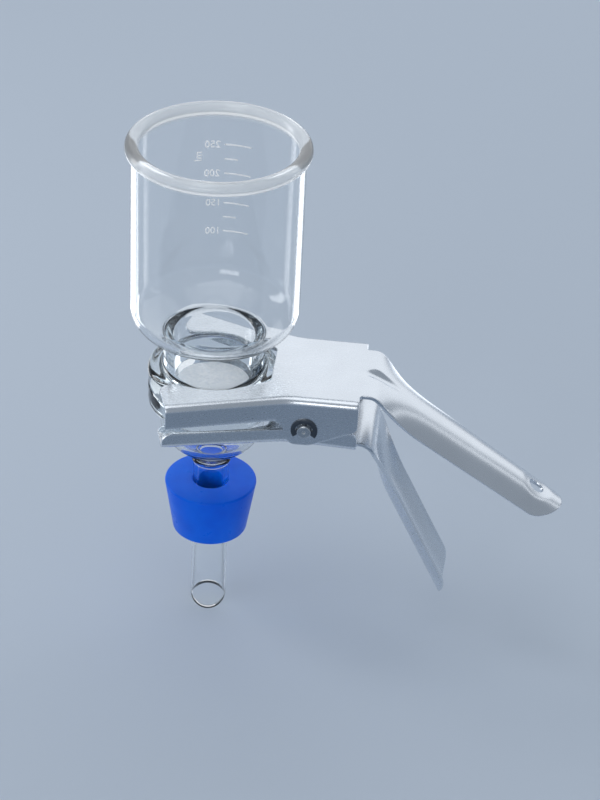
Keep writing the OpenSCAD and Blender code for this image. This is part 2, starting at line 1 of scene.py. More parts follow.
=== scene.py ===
"""Vacuum filtration unit: an all-glass filter holder for 47 mm membranes, with its spring clamp.

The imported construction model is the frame. Every class here holds its own sizes in millimetres, takes
its place from the frame's boxes, and builds meshes in metres in the same frame: +Z up the glass axis,
+X from that axis towards the clamp's handles, the origin at the middle of the stopper.
"""
import logging
import math
from dataclasses import dataclass
from enum import Enum

import bmesh
import bpy
from mathutils import Matrix, Vector


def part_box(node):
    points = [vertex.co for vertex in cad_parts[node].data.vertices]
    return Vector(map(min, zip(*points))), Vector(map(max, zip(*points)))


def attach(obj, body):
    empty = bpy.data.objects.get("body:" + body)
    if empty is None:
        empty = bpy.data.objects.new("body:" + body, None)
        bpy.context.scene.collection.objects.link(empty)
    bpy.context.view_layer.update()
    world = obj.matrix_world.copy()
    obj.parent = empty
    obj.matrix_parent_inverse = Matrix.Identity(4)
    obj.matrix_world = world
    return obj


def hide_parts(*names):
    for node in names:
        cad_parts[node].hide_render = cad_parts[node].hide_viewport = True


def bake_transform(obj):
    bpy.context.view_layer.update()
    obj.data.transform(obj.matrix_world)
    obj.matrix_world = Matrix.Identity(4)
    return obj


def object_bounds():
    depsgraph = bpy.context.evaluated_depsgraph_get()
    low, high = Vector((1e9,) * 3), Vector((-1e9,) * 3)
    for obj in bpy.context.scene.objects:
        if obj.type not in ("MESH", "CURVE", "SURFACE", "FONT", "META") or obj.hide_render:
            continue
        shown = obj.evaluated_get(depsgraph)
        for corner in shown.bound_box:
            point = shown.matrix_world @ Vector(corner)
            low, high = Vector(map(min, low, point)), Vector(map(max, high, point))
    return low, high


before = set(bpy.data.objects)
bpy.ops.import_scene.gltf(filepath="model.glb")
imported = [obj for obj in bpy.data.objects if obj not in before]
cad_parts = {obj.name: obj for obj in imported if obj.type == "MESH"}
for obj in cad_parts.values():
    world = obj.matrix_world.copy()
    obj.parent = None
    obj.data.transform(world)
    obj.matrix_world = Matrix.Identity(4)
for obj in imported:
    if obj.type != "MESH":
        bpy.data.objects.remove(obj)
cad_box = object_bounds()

LOG = logging.getLogger("filtration_unit")
MM = 0.001
Point = tuple[float, float]
Point3 = tuple[float, float, float]
Corner = tuple[float, float, float]
Colour = tuple[float, float, float]


class Body(Enum):
    """Bodies of the frame that a piece can ride on."""

    ROOT = "root"
    LOWER_JAW = "lower_jaw"


class Side(Enum):
    """Which way a jaw's outer face looks."""

    UP = 1
    DOWN = -1


# ---------------------------------------------------------------- outlines


def arc(centre: Point, radius: float, start: float, end: float, steps: int = 10) -> list[Point]:
    """Points along an arc.

    Args:
        centre: Middle of the arc.
        radius: Its radius.
        start: Direction of its first point, in degrees.
        end: Direction of its last point, in degrees.
        steps: Number of chords.

    Returns:
        The points, both ends included.
    """
    turns = [math.radians(start + (end - start) * i / steps) for i in range(steps + 1)]
    return [(centre[0] + radius * math.cos(a), centre[1] + radius * math.sin(a)) for a in turns]


def fillet(a: Point, b: Point, c: Point, radius: float, steps: int = 6) -> list[Point]:
    """The corner b of the outline a, b, c, rounded.

    Args:
        a: Point before the corner.
        b: The corner.
        c: Point after the corner.
        radius: Radius of the rounding.
        steps: Number of chords.

    Returns:
        The points that take the corner's place.
    """
    corner = Vector(b)
    u = (Vector(a) - corner).normalized()
    w = (Vector(c) - corner).normalized()
    half = u.angle(w) / 2
    middle = corner + (u + w).normalized() * (radius / math.sin(half))
    first = corner + u * (radius / math.tan(half)) - middle
    last = corner + w * (radius / math.tan(half)) - middle
    start = math.degrees(math.atan2(first.y, first.x))
    turn = (math.degrees(math.atan2(last.y, last.x)) - start + 540) % 360 - 180
    return arc((middle.x, middle.y), radius, start, start + turn, steps)


def rounded(corners: list[Corner], closed: bool = True, steps: int = 6) -> list[Point]:
    """An outline with rounded corners.

    Args:
        corners: Each corner's two coordinates and its radius.
        closed: Whether the last corner joins the first.
        steps: Number of chords at each rounded corner.

    Returns:
        The outline's points.
    """
    points: list[Point] = []
    count = len(corners)
    for i, (x, y, radius) in enumerate(corners):
        at_end = not closed and i in (0, count - 1)
        if radius <= 0 or at_end:
            points.append((x, y))
            continue
        before, after = corners[i - 1], corners[(i + 1) % count]
        points += fillet(before[:2], (x, y), after[:2], radius, steps)
    return points


def spread(start: float, end: float, step: float) -> list[float]:
    """Evenly spaced values from start to end, no further apart than step."""
    count = max(1, math.ceil(abs(end - start) / step))
    return [start + (end - start) * i / count for i in range(count + 1)]


# ---------------------------------------------------------------- meshes


def turned(profile: list[Point], steps: int = 144) -> bmesh.types.BMesh:
    """A closed solid of revolution about Z.

    Args:
        profile: Closed outline as radius and height, in millimetres.
        steps: Number of steps round the axis.

    Returns:
        The solid, with its faces outwards.
    """
    bm = bmesh.new()
    ring = [bm.verts.new((radius * MM, 0, z * MM)) for radius, z in profile]
    edges = []
    for a, b in zip(ring, ring[1:] + ring[:1]):
        if a.co.x > 0 or b.co.x > 0:
            edges.append(bm.edges.new((a, b)))
    bmesh.ops.spin(
        bm, geom=ring + edges, cent=(0, 0, 0), axis=(0, 0, 1), dvec=(0, 0, 0),
        angle=math.tau, steps=steps, use_merge=True,
    )
    bmesh.ops.remove_doubles(bm, verts=bm.verts, dist=1e-6)
    bmesh.ops.dissolve_degenerate(bm, edges=bm.edges, dist=1e-7)
    bmesh.ops.recalc_face_normals(bm, faces=bm.faces)
    return bm


def prism(outline: list[Point], low: float, high: float) -> bmesh.types.BMesh:
    """A flat outline in X and Y with a thickness along Z, all in millimetres.

    Args:
        outline: The closed outline.
        low: Height of its underside.
        high: Height of its top.

    Returns:
        The closed solid.
    """
    bm = bmesh.new()
    face = bm.faces.new([bm.verts.new((x * MM, y * MM, low * MM)) for x, y in outline])
    bm.normal_update()
    made = bmesh.ops.extrude_face_region(bm, geom=[face])["geom"]
    top = [v for v in made if isinstance(v, bmesh.types.BMVert)]
    bmesh.ops.translate(bm, verts=top, vec=(0, 0, (high - low) * MM))
    bmesh.ops.recalc_face_normals(bm, faces=bm.faces)
    return bm


def soften(bm: bmesh.types.BMesh, width: float, segments: int = 2, angle: float = 50.0) -> None:
    """Rounds a mesh's sharp edges.

    Args:
        bm: The mesh.
        width: Width of the rounding, in millimetres.
        segments: Chords across the rounding.
        angle: Edges sharper than this, in degrees, are rounded.
    """
    limit = math.radians(angle)
    sharp = [e for e in bm.edges if e.is_manifold and e.calc_face_angle(0.0) > limit]
    bmesh.ops.bevel(
        bm, geom=sharp, offset=width * MM, offset_type="OFFSET", segments=segments, profile=0.5,
        affect="EDGES", material=-1, clamp_overlap=False,
    )


def piece(
    bm: bmesh.types.BMesh, name: str, finish: "Finish", body: Body | None, *nodes: str, crease: float = 35.0
) -> bpy.types.Object:
    """Turns a finished mesh into a piece of the object.

    Args:
        bm: The mesh, in place. It is freed.
        name: The piece's name.
        finish: What it is made of.
        body: The body that it rides on, or none if it bends between two.
        nodes: The frame's nodes that it stands for.
        crease: Edges sharper than this, in degrees, stay sharp.

    Returns:
        The piece.
    """
    mesh = bpy.data.meshes.new(name)
    bm.to_mesh(mesh)
    bm.free()
    mesh.shade_smooth()
    mesh.set_sharp_from_angle(angle=math.radians(crease))
    mesh.materials.append(finish.material())
    obj = bpy.data.objects.new(name, mesh)
    bpy.context.scene.collection.objects.link(obj)
    if body:
        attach(obj, body.value)
    if nodes:
        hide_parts(*nodes)
    LOG.info("%s: %d faces on %s", name, len(mesh.polygons), body.value if body else "two bodies")
    return obj


# ---------------------------------------------------------------- finishes


@dataclass(frozen=True)
class Finish:
    """A finish of the object, made once as a node material on Object coordinates."""

    name: str
    slot: str
    colour: Colour
    roughness: float

    def material(self) -> bpy.types.Material:
        """The material, made the first time that it is asked for."""
        made = bpy.data.materials.get(self.name)
        if made is None:
            made = bpy.data.materials.new(self.name)
            made.use_nodes = True
            shader = self.shader(made.node_tree)
            shader.inputs["Roughness"].default_value = self.roughness
            shader.inputs["Base Color"].default_value = (*self.colour, 1)
            self.dress(made.node_tree)
        return made

    def dress(self, tree: bpy.types.NodeTree) -> None:
        """Adds what sets the finish apart."""
        raise NotImplementedError

    @staticmethod
    def shader(tree: bpy.types.NodeTree) -> bpy.types.Node:
        """The material's shader node."""
        return tree.nodes["Principled BSDF"]

    @staticmethod
    def noise(tree: bpy.types.NodeTree, scale: float, detail: float, stretch: Vector) -> bpy.types.Node:
        """A noise pattern fixed to the object.

        Args:
            tree: The material's nodes.
            scale: Number of patches in a metre.
            detail: Levels of finer detail.
            stretch: How often the pattern repeats along each axis, next to the scale.

        Returns:
            The noise node.
        """
        place = tree.nodes.new("ShaderNodeTexCoord")
        mapping = tree.nodes.new("ShaderNodeMapping")
        mapping.inputs["Scale"].default_value = stretch
        noise = tree.nodes.new("ShaderNodeTexNoise")
        noise.inputs["Scale"].default_value = scale
        noise.inputs["Detail"].default_value = detail
        tree.links.new(place.outputs["Object"], mapping.inputs["Vector"])
        tree.links.new(mapping.outputs["Vector"], noise.inputs["Vector"])
        return noise

    def vary(
        self, tree: bpy.types.NodeTree, noise: bpy.types.Node, socket: str, low: float, high: float
    ) -> None:
        """Lets a noise pattern move a value of the shader between two limits."""
        ramp = tree.nodes.new("ShaderNodeMapRange")
        ramp.inputs["From Min"].default_value = 0.3
        ramp.inputs["From Max"].default_value = 0.7
        ramp.inputs["To Min"].default_value = low
        ramp.inputs["To Max"].default_value = high
        tree.links.new(noise.outputs["Fac"], ramp.inputs["Value"])
        tree.links.new(ramp.outputs["Result"], self.shader(tree).inputs[socket])

    def tint(
        self, tree: bpy.types.NodeTree, noise: bpy.types.Node, other: Colour,
        low: float = 0.35, high: float = 0.65,
    ) -> None:
        """Mottles the base colour with another one."""
        ramp = tree.nodes.new("ShaderNodeValToRGB")
        ramp.color_ramp.elements[0].position = low
        ramp.color_ramp.elements[0].color = (*self.colour, 1)
        ramp.color_ramp.elements[1].position = high
        ramp.color_ramp.elements[1].color = (*other, 1)
        tree.links.new(noise.outputs["Fac"], ramp.inputs["Fac"])
        tree.links.new(ramp.outputs["Color"], self.shader(tree).inputs["Base Color"])

    def emboss(self, tree: bpy.types.NodeTree, noise: bpy.types.Node, strength: float, depth: float) -> None:
        """Raises a noise pattern as bump.

        Args:
            tree: The material's nodes.
            noise: The pattern.
            strength: How strongly it shows.
            depth: Its height in metres.
        """
        bump = tree.nodes.new("ShaderNodeBump")
        bump.inputs["Strength"].default_value = strength
        bump.inputs["Distance"].default_value = depth
        tree.links.new(noise.outputs["Fac"], bump.inputs["Height"])
        tree.links.new(bump.outputs["Normal"], self.shader(tree).inputs["Normal"])


@dataclass(frozen=True)
class BlownGlass(Finish):
    """Clear borosilicate glass, faintly wavy from the lamp."""

    index: float = 1.473
    wave: float = 0.02
    wave_scale: float = 60.0
    wave_depth: float = 0.0004
    passing: Colour = (0.95, 0.96, 0.97)
    clearness: Colour = (0.20, 0.52, 0.66)
    density: float = 8.0
    rim_z: Point = (0.1735, 0.1755)
    rim_haze: float = 0.10
    # Transmission at the rim; the rest shows as white diffuse, a painted pale sheen on the bead.
    rim_clearness_under_painted_sheen: float = 0.65

    def dress(self, tree: bpy.types.NodeTree) -> None:
        """Makes it clear, with the faint waviness of blown walls, and lets the lamps shine through it."""
        shader = self.shader(tree)
        shader.inputs["IOR"].default_value = self.index
        waves = self.noise(tree, self.wave_scale, 1.0, Vector((1, 1, 0.35)))
        self.emboss(tree, waves, self.wave, self.wave_depth)
        self.graded(tree, "Roughness", 0.0, self.rim_haze)
        # Near the rim the transmission drops and the white base colour shows as a diffuse film: a painted
        # pale sheen on the bead, standing in for its bright reflections.
        self.graded(tree, "Transmission Weight", 1.0, self.rim_clearness_under_painted_sheen)
        path = tree.nodes.new("ShaderNodeLightPath")
        through = tree.nodes.new("ShaderNodeBsdfTransparent")
        through.inputs["Color"].default_value = (*self.passing, 1)
        mix = tree.nodes.new("ShaderNodeMixShader")
        tree.links.new(path.outputs["Is Shadow Ray"], mix.inputs["Fac"])
        tree.links.new(shader.outputs["BSDF"], mix.inputs[1])
        tree.links.new(through.outputs["BSDF"], mix.inputs[2])
        tree.links.new(mix.outputs["Shader"], tree.nodes["Material Output"].inputs["Surface"])
        body = tree.nodes.new("ShaderNodeVolumeAbsorption")
        body.inputs["Color"].default_value = (*self.clearness, 1)
        body.inputs["Density"].default_value = self.density
        tree.links.new(body.outputs["Volume"], tree.nodes["Material Output"].inputs["Volume"])

    def graded(self, tree: bpy.types.NodeTree, socket: str, wall: float, rim: float) -> None:
        """Takes a value from that of the walls to that of the fire-polished rim, by height: its faint haze,
        and the painted pale sheen where its transmission drops.

        Args:
            tree: The material's nodes.
            socket: The shader's socket.
            wall: Its value below the rim.
            rim: Its value on the rim.
        """
        place = tree.nodes.new("ShaderNodeTexCoord")
        parts = tree.nodes.new("ShaderNodeSeparateXYZ")
        ramp = tree.nodes.new("ShaderNodeMapRange")
        ramp.inputs["From Min"].default_value, ramp.inputs["From Max"].default_value = self.rim_z
        ramp.inputs["To Min"].default_value, ramp.inputs["To Max"].default_value = wall, rim
        tree.links.new(place.outputs["Object"], parts.inputs["Vector"])
        tree.links.new(parts.outputs["Z"], ramp.inputs["Value"])
        tree.links.new(ramp.outputs["Result"], self.shader(tree).inputs[socket])


@dataclass(frozen=True)
class Sintered(Finish):
    """Sintered glass: fine fused grains, matt and milky."""

    grain: float = 2600.0

    def dress(self, tree: bpy.types.NodeTree) -> None:
        """Mottles it and gives it a grain."""
        self.tint(tree, self.noise(tree, self.grain / 4, 3.0, Vector((1, 1, 1))), (0.88, 0.90, 0.93))
        self.emboss(tree, self.noise(tree, self.grain, 4.0, Vector((1, 1, 1))), 0.5, 0.00012)
        self.shader(tree).inputs["Subsurface Weight"].default_value = 0.15
        self.shader(tree).inputs["Subsurface Radius"].default_value = (0.002, 0.002, 0.002)


@dataclass(frozen=True)
class Enamel(Finish):
    """Fired white enamel, a little uneven at its edge."""

    def dress(self, tree: bpy.types.NodeTree) -> None:
        """Gives it a slight unevenness."""
        noise = self.noise(tree, 900, 2.0, Vector((1, 1, 1)))
        self.tint(tree, noise, (0.90, 0.92, 0.93))
        self.emboss(tree, noise, 0.15, 0.00005)
        self.shader(tree).inputs["Subsurface Weight"].default_value = 1.0
        self.shader(tree).inputs["Subsurface Radius"].default_value = (0.001, 0.001, 0.001)
        self.shader(tree).inputs["Subsurface Scale"].default_value = 1.0


@dataclass(frozen=True)
class Silicone(Finish):
    """Moulded silicone rubber with a soft sheen."""

    depth: Colour = (0.0, 0.10, 0.80)

    def dress(self, tree: bpy.types.NodeTree) -> None:
        """Mottles it faintly and lets a little light in."""
        shader = self.shader(tree)
        cloud = self.noise(tree, 55, 3.0, Vector((1, 1, 1)))
        self.tint(tree, cloud, self.depth, 0.30, 0.85)
        self.vary(tree, self.noise(tree, 240, 3.0, Vector((1, 1, 1))), "Roughness", 0.27, 0.40)
        self.emboss(tree, self.noise(tree, 1400, 4.0, Vector((1, 1, 1))), 0.12, 0.00006)
        shader.inputs["Subsurface Weight"].default_value = 0.12
        shader.inputs["Subsurface Radius"].default_value = (0.0005, 0.001, 0.004)
        shader.inputs["Specular IOR Level"].default_value = 0.18


@dataclass(frozen=True)
class Metal(Finish):
    """Metal with a rolled or plated skin."""

    spread: float = 0.05
    grain: float = 700.0
    rolled: float = 1.0
    relief: float = 0.08

    def dress(self, tree: bpy.types.NodeTree) -> None:
        """Makes it metal, with a skin that is slightly uneven in gloss and height."""
        shader = self.shader(tree)
        shader.inputs["Metallic"].default_value = 1.0
        cloud = self.noise(tree, 45, 3.0, Vector((1, 1, 1)))
        darker = tuple(0.94 * channel for channel in self.colour)
        self.tint(tree, cloud, darker)
        skin = self.noise(tree, self.grain, 4.0, Vector((1 / self.rolled, 1, 1)))
        self.vary(tree, skin, "Roughness", self.roughness - self.spread, self.roughness + self.spread)
        self.emboss(tree, skin, self.relief, 0.00004)


CLEAR_GLASS = BlownGlass("blown_glass", "clear_glass", (1.0, 1.0, 1.0), 0.0)
SINTERED_GLASS = Sintered("fused_grain", "sintered_glass", (0.74, 0.78, 0.83), 0.85)
WHITE_ENAMEL = Enamel("fired_enamel", "white_enamel", (0.93, 0.95, 0.96), 0.4)
BLUE_SILICONE = Silicone("moulded_silicone", "blue_silicone", (0.0, 0.17, 1.0), 0.36)
SATIN_ALUMINIUM = Metal("satin_sheet", "satin_aluminium", (0.78, 0.82, 0.87), 0.27, 0.01, 2400, 8.0, 0.006)
BRIGHT_STEEL = Metal("bright_zinc", "bright_steel", (0.62, 0.65, 0.68), 0.24, 0.05)
DARK_STEEL = Metal("black_spring", "dark_steel", (0.12, 0.135, 0.155), 0.32, 0.06)


# ---------------------------------------------------------------- glass


@dataclass
class Funnel:
    """The graduated cup with its neck and its ground flange, blown in one piece."""

    flange_d: float = 55.6
    flange_top_d: float = 57.2
    flange_h: float = 10.0
    flange_r: float = 2.8
    ground_bevel: float = 0.4
    neck_d: float = 44.0
    neck_bore: float = 35.0
    neck_h: float = 15.7
    neck_fillet: float = 2.4
    cup_wall: float = 2.4
    corner_r: float = 12.0
    floor_slope: float = 25.0
    bead_r: float = 3.0
    bead_out: float = 2.5
    joint_film: float = 0.04
    blend_run: float = 10.0

    def __post_init__(self) -> None:
        """Takes the joint, the rim and the cup's width from the frame."""
        low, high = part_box("funnel")
        self.joint_z = low.z / MM
        self.rim_z = high.z / MM
        self.cup_r = high.x / MM - self.bead_out

    def profile(self) -> list[Point]:
        """The wall's section, as radius and height."""
        slope = math.radians(self.floor_slope)
        joint = self.joint_z + self.joint_film
        flange_r, crown_r = self.flange_d / 2, self.flange_top_d / 2
        flange_z = self.joint_z + self.flange_h
        neck_r, bore_r = self.neck_d / 2, self.neck_bore / 2
        neck_top = flange_z + self.neck_h
        corner_a = 90 - self.floor_slope
        turn = math.radians(corner_a)
        drop = self.corner_r * (1 - math.cos(turn))
        corner = (
            self.cup_r - self.corner_r,
            neck_top + (self.cup_r - drop - neck_r) * math.tan(slope) + self.corner_r * math.sin(turn),
        )
        bead = (self.cup_r + self.bead_out - self.bead_r, self.rim_z - self.bead_r)
        run = neck_r + self.neck_fillet * 2
        outside = rounded(
            [
                (bore_r, joint, 0.0),
                (flange_r - self.ground_bevel, joint, 0.0),
                (flange_r, joint + self.ground_bevel, 0.0),
                (crown_r, flange_z, self.flange_r),
                (neck_r, flange_z, self.neck_fillet),
                (neck_r, neck_top, self.neck_fillet),
                (run, neck_top + (run - neck_r) * math.tan(slope), 0.0),
            ],
            closed=False, steps=10,
        )
        outside += arc(corner, self.corner_r, -corner_a, 0, 20)
        foot_a = math.degrees(math.acos((self.cup_r - bead[0]) / self.bead_r))
        inner_a = 360 - math.degrees(math.acos((self.cup_r - self.cup_wall - bead[0]) / self.bead_r))
        rim = arc(bead, self.bead_r, -foot_a, inner_a, 32)
        floor_z = neck_top + self.cup_wall / math.cos(slope) + (bore_r - neck_r) * math.tan(slope)
        lip = (bore_r, floor_z)
        inside = arc(corner, self.corner_r - self.cup_wall, 0, -corner_a, 20)
        on_floor = (bore_r + self.blend_run, floor_z + self.blend_run * math.tan(slope))
        inside += fillet(on_floor, lip, (bore_r, joint), self.neck_fillet, 10)
        return outside + rim + inside

    def build(self) -> bpy.types.Object:
        """The funnel."""
        return piece(turned(self.profile(), 192), "funnel_glass", CLEAR_GLASS, Body.ROOT, "funnel")


@dataclass
class Base:
    """The bowl under the joint, with its flange, disc seat and bevelled stem, fused in one piece."""

    stem_d: float = 16.0
    stem_bore: float = 11.0
    stem_above: float = 12.7
    tip_angle: float = 28.0
    tip_turn: float = 7.0
    fuse_out: float = 0.6
    fuse_r: float = 1.5
    foot_h: float = 7.7
    foot_d: float = 32.0
    bowl_d: float = 45.6
    bowl_r: float = 15.5
    bowl_wall: float = 2.4
    flange_h: float = 9.4
    flange_r: float = 2.2
    ground_bevel: float = 0.4
    seat_d: float = 38.0
    seat_h: float = 4.5
    ledge: float = 1.4
    tip_edge: float = 0.35
    rim_a: float = 30.0
    foot_r: float = 1.2
    shoulder_r: float = 0.8
    ledge_r: float = 0.5
    throat_r: float = 1.5
    shoulder_h: float = 2.0
    throat_h: float = 5.0

    def __post_init__(self) -> None:
        """Takes the tip, the joint and the flange's width from the frame."""
        low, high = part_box("base")
        self.tip_z = low.z / MM
        self.joint_z = high.z / MM
        self.out_r = high.x / MM
        self.foot_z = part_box("stopper")[1].z / MM + self.stem_above

    def profile(self) -> list[Point]:
        """The section before the tip is ground, as radius and height."""
        stem_r, foot_out, bore_r = self.stem_d / 2, self.foot_d / 2, self.stem_bore / 2
        bowl_out = self.bowl_d / 2
        foot_top = self.foot_z + self.foot_h
        centre_r = bowl_out - self.bowl_r
        bowl = (centre_r, foot_top + math.sqrt(self.bowl_r**2 - (foot_out - centre_r) ** 2))
        foot_a = math.degrees(math.atan2(foot_top - bowl[1], foot_out - bowl[0]))
        slope = math.atan2(self.foot_h, foot_out - stem_r)
        inner_foot = (
            foot_out - self.bowl_wall * math.sin(slope), foot_top + self.bowl_wall * math.cos(slope)
        )
        inner_a = math.degrees(math.atan2(inner_foot[1] - bowl[1], inner_foot[0] - bowl[0]))
        bore_top = inner_foot[1] - (inner_foot[0] - bore_r) * math.tan(slope)
        flange_z = self.joint_z - self.flange_h
        seat_r, throat = self.seat_d / 2, self.seat_d / 2 - self.ledge
        ring_a = math.degrees(math.acos((self.fuse_r - self.fuse_out) / self.fuse_r))
        outside = [(bore_r, self.tip_z), (stem_r, self.tip_z)]
        outside += arc((stem_r + self.fuse_out - self.fuse_r, self.foot_z - self.fuse_r), self.fuse_r,
                       -ring_a, ring_a, 10)
        on_stem, root = (stem_r, self.foot_z - self.foot_h), (stem_r, self.foot_z)
        outside += fillet(on_stem, root, (foot_out, foot_top), self.foot_r, 4)[-2:]
        outside += arc(bowl, self.bowl_r, foot_a, 0, 24)
        outside += rounded(
            [
                (bowl_out, flange_z - self.shoulder_h, 0.0),
                (bowl_out, flange_z, self.shoulder_r),
                (self.out_r, flange_z, self.flange_r),
                (self.out_r, self.joint_z - self.ground_bevel, 0.0),
                (self.out_r - self.ground_bevel, self.joint_z, 0.0),
                (seat_r, self.joint_z, 0.0),
                (seat_r, self.joint_z - self.seat_h, 0.0),
                (throat, self.joint_z - self.seat_h, self.ledge_r),
                (throat, flange_z - self.shoulder_h, self.throat_r),
                (bowl_out - self.bowl_wall, flange_z - self.throat_h, self.throat_r),
            ],
            closed=False, steps=6,
        )
        inside = arc(bowl, self.bowl_r - self.bowl_wall, 0, inner_a, 20)[1:]
        inside += fillet(inside[-1], (bore_r, bore_top), (bore_r, self.tip_z), self.foot_r, 6)
        return outside + inside

    def grind_tip(self, bm: bmesh.types.BMesh) -> None:
        """Cuts the stem's end at a slope and rounds its rim as the flame does."""
        turn = Matrix.Rotation(math.radians(self.tip_turn), 3, "Z")
        normal = turn @ (Matrix.Rotation(math.radians(self.tip_angle), 3, "X") @ Vector((0, 0, -1)))
        longest = turn @ Vector((0, -self.stem_d / 2, self.tip_z)) * MM
        geometry = bm.verts[:] + bm.edges[:] + bm.faces[:]
        cut = bmesh.ops.bisect_plane(
            bm, geom=geometry, dist=1e-7, plane_co=longest, plane_no=normal, clear_outer=True
        )
        rims = [e for e in cut["geom_cut"] if isinstance(e, bmesh.types.BMEdge)]
        made = bmesh.ops.bridge_loops(bm, edges=rims)
        bmesh.ops.recalc_face_normals(bm, faces=bm.faces)
        limit = math.radians(self.rim_a)
        edges = {e for f in made["faces"] for e in f.edges if e.calc_face_angle(0.0) > limit}
        bmesh.ops.bevel(
            bm, geom=list(edges), offset=self.tip_edge * MM, offset_type="OFFSET", segments=3, profile=0.5,
            affect="EDGES", material=-1, clamp_overlap=True,
        )

    def build(self) -> bpy.types.Object:
        """The base."""
        bm = turned(self.profile(), 144)
        self.grind_tip(bm)
        return piece(bm, "base_glass", CLEAR_GLASS, Body.ROOT, "base")


@dataclass
class FritDisc:
    """The sintered disc in its seat."""

    film: float = 0.04
    edge: float = 0.25

    def build(self) -> bpy.types.Object:
        """The disc, flush with the ground joint."""
        low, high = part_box("frit_disc")
        radius, bottom, top = high.x / MM, low.z / MM + self.film, high.z / MM - self.film
        rings = [(r, top, 0.0) for r in spread(0.0, radius - 1, 4.0)]
        section = rounded(
            rings + [(radius, top, self.edge), (radius, bottom, self.edge), (0.0, bottom, 0.0)], steps=3
        )
        return piece(turned(section, 96), "sintered_disc", SINTERED_GLASS, Body.ROOT, "frit_disc")


@dataclass
class Stopper:
    """The tapered rubber stopper, bored for the stem."""

    top_d: float = 41.0
    bottom_d: float = 33.0
    edge_r: float = 0.9
    bore_edge: float = 0.35
    bore_d: float = 16.08

    def build(self) -> bpy.types.Object:
        """The stopper."""
        low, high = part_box("stopper")
        top_r, bore_r = self.top_d / 2, self.bore_d / 2
        bottom, top = low.z / MM, high.z / MM
        section = rounded(
            [
                (bore_r, bottom, self.bore_edge),
                (self.bottom_d / 2, bottom, self.edge_r),
                (top_r, top, self.edge_r),
                (bore_r, top, self.bore_edge),
            ],
            steps=6,
        )
        return piece(turned(section, 160), "stopper_rubber", BLUE_SILICONE, Body.ROOT, "stopper")


@dataclass
class Graduation:
    """White marks and numerals fired on the back of the cup, 25 ml apart and numbered at each 50 ml."""

    pitch: float = 6.9
    volumes: tuple[int, ...] = (250, 225, 200, 175, 150, 125, 100)
    long_mark: float = 12.0
    short_mark: float = 6.0
    line: float = 0.7
    lift: float = 0.01
    thickness: float = 0.12
    start: float = 93.0
    numeral_h: float = 3.4
    numeral_bold: float = 0.012
    numeral_gap: float = 1.9
    unit: str = "ml"
    unit_angle: float = 111.5
    unit_drop: float = 0.5
    chord: float = 1.2

    def __post_init__(self) -> None:
        """Takes the cup's radius and the top mark's height from the frame's marks."""
        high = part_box("graduation_marks")[1]
        self.radius = Funnel().cup_r + self.lift
        self.top_z = high.z / MM - self.line / 2

    def wrap(self, bm: bmesh.types.BMesh, angle: float, z: float) -> None:
        """Bends a flat drawing round the cup.

        Args:
            bm: The drawing: X runs to the right as read from outside, Y up, Z outwards, in millimetres.
            angle: Direction of its origin from +X towards +Y, in degrees.
            z: Height of its origin, in millimetres.
        """
        for v in bm.verts:
            turn = math.radians(angle) + v.co.x / self.radius
            reach = self.radius + v.co.z
            v.co = Vector((reach * math.cos(turn), reach * math.sin(turn), z + v.co.y)) * MM

    def mark(self, length: float, z: float) -> bmesh.types.BMesh:
        """One line of the scale, with round ends, that ends at the scale's start."""
        half = self.line / 2
        ends = arc((-half, 0), half, -90, 90, 8) + arc((half - length, 0), half, 90, 270, 8)
        bm = prism(ends, 0, self.thickness)
        bmesh.ops.scale(bm, vec=(1 / MM,) * 3, verts=bm.verts)
        for x in spread(-length, 0, self.chord)[1:-1]:
            geometry = bm.verts[:] + bm.edges[:] + bm.faces[:]
            bmesh.ops.bisect_plane(bm, geom=geometry, plane_co=(x, 0, 0), plane_no=(1, 0, 0), dist=1e-4)
        self.wrap(bm, self.start, z)
        return bm

    def lettering(self, text: str, height: float, turn: float = 0.0) -> bmesh.types.BMesh:
        """Flat characters with a thickness, in millimetres, their left edge at X = 0 and centred on Y = 0."""
        curve = bpy.data.curves.new("lettering", "FONT")
        curve.body = text
        curve.size = 1.0
        curve.offset = self.numeral_bold
        curve.resolution_u = 4
        holder = bpy.data.objects.new("lettering", curve)
        flat = bpy.data.meshes.new_from_object(holder)
        bm = bmesh.new()
        bm.from_mesh(flat)
        bpy.data.objects.remove(holder)
        bpy.data.curves.remove(curve)
        bpy.data.meshes.remove(flat)
        bmesh.ops.remove_doubles(bm, verts=bm.verts, dist=1e-5)
        low = Vector((min(v.co.x for v in bm.verts), min(v.co.y for v in bm.verts), 0))
        high = Vector((max(v.co.x for v in bm.verts), max(v.co.y for v in bm.verts), 0))
        size = height / (high.y - low.y)
        bmesh.ops.translate(bm, verts=bm.verts, vec=(-low.x, -(low.y + high.y) / 2, 0))
        bmesh.ops.scale(bm, vec=(size, size, size), verts=bm.verts)
        turning = Matrix.Rotation(math.radians(turn), 3, "Z")
        bmesh.ops.rotate(bm, verts=bm.verts, cent=(0, 0, 0), matrix=turning)
        top = bmesh.ops.extrude_face_region(bm, geom=bm.faces[:])["geom"]
        bmesh.ops.translate(
            bm, verts=[v for v in top if isinstance(v, bmesh.types.BMVert)], vec=(0, 0, self.thickness)
        )
        bmesh.ops.recalc_face_normals(bm, faces=bm.faces)
        return bm

    def build(self) -> list[bpy.types.Object]:
        """The marks as one piece and the numerals as another."""
        marks, figures = bmesh.new(), bmesh.new()
        for i, volume in enumerate(self.volumes):
            z = self.top_z - i * self.pitch
            numbered = volume % 50 == 0
            join(marks, self.mark(self.long_mark if numbered else self.short_mark, z))
            if numbered:
                word = self.lettering(str(volume), self.numeral_h)
                self.wrap(word, self.start + math.degrees(self.numeral_gap / self.radius), z)
                join(figures, word)
        unit = self.lettering(self.unit, self.numeral_h, -90.0)
        self.wrap(unit, self.unit_angle, self.top_z - self.pitch * self.unit_drop)
        join(figures, unit)
        return [
            piece(marks, "scale_marks", WHITE_ENAMEL, Body.ROOT, "graduation_marks"),
            piece(figures, "scale_numerals", WHITE_ENAMEL, Body.ROOT),
        ]


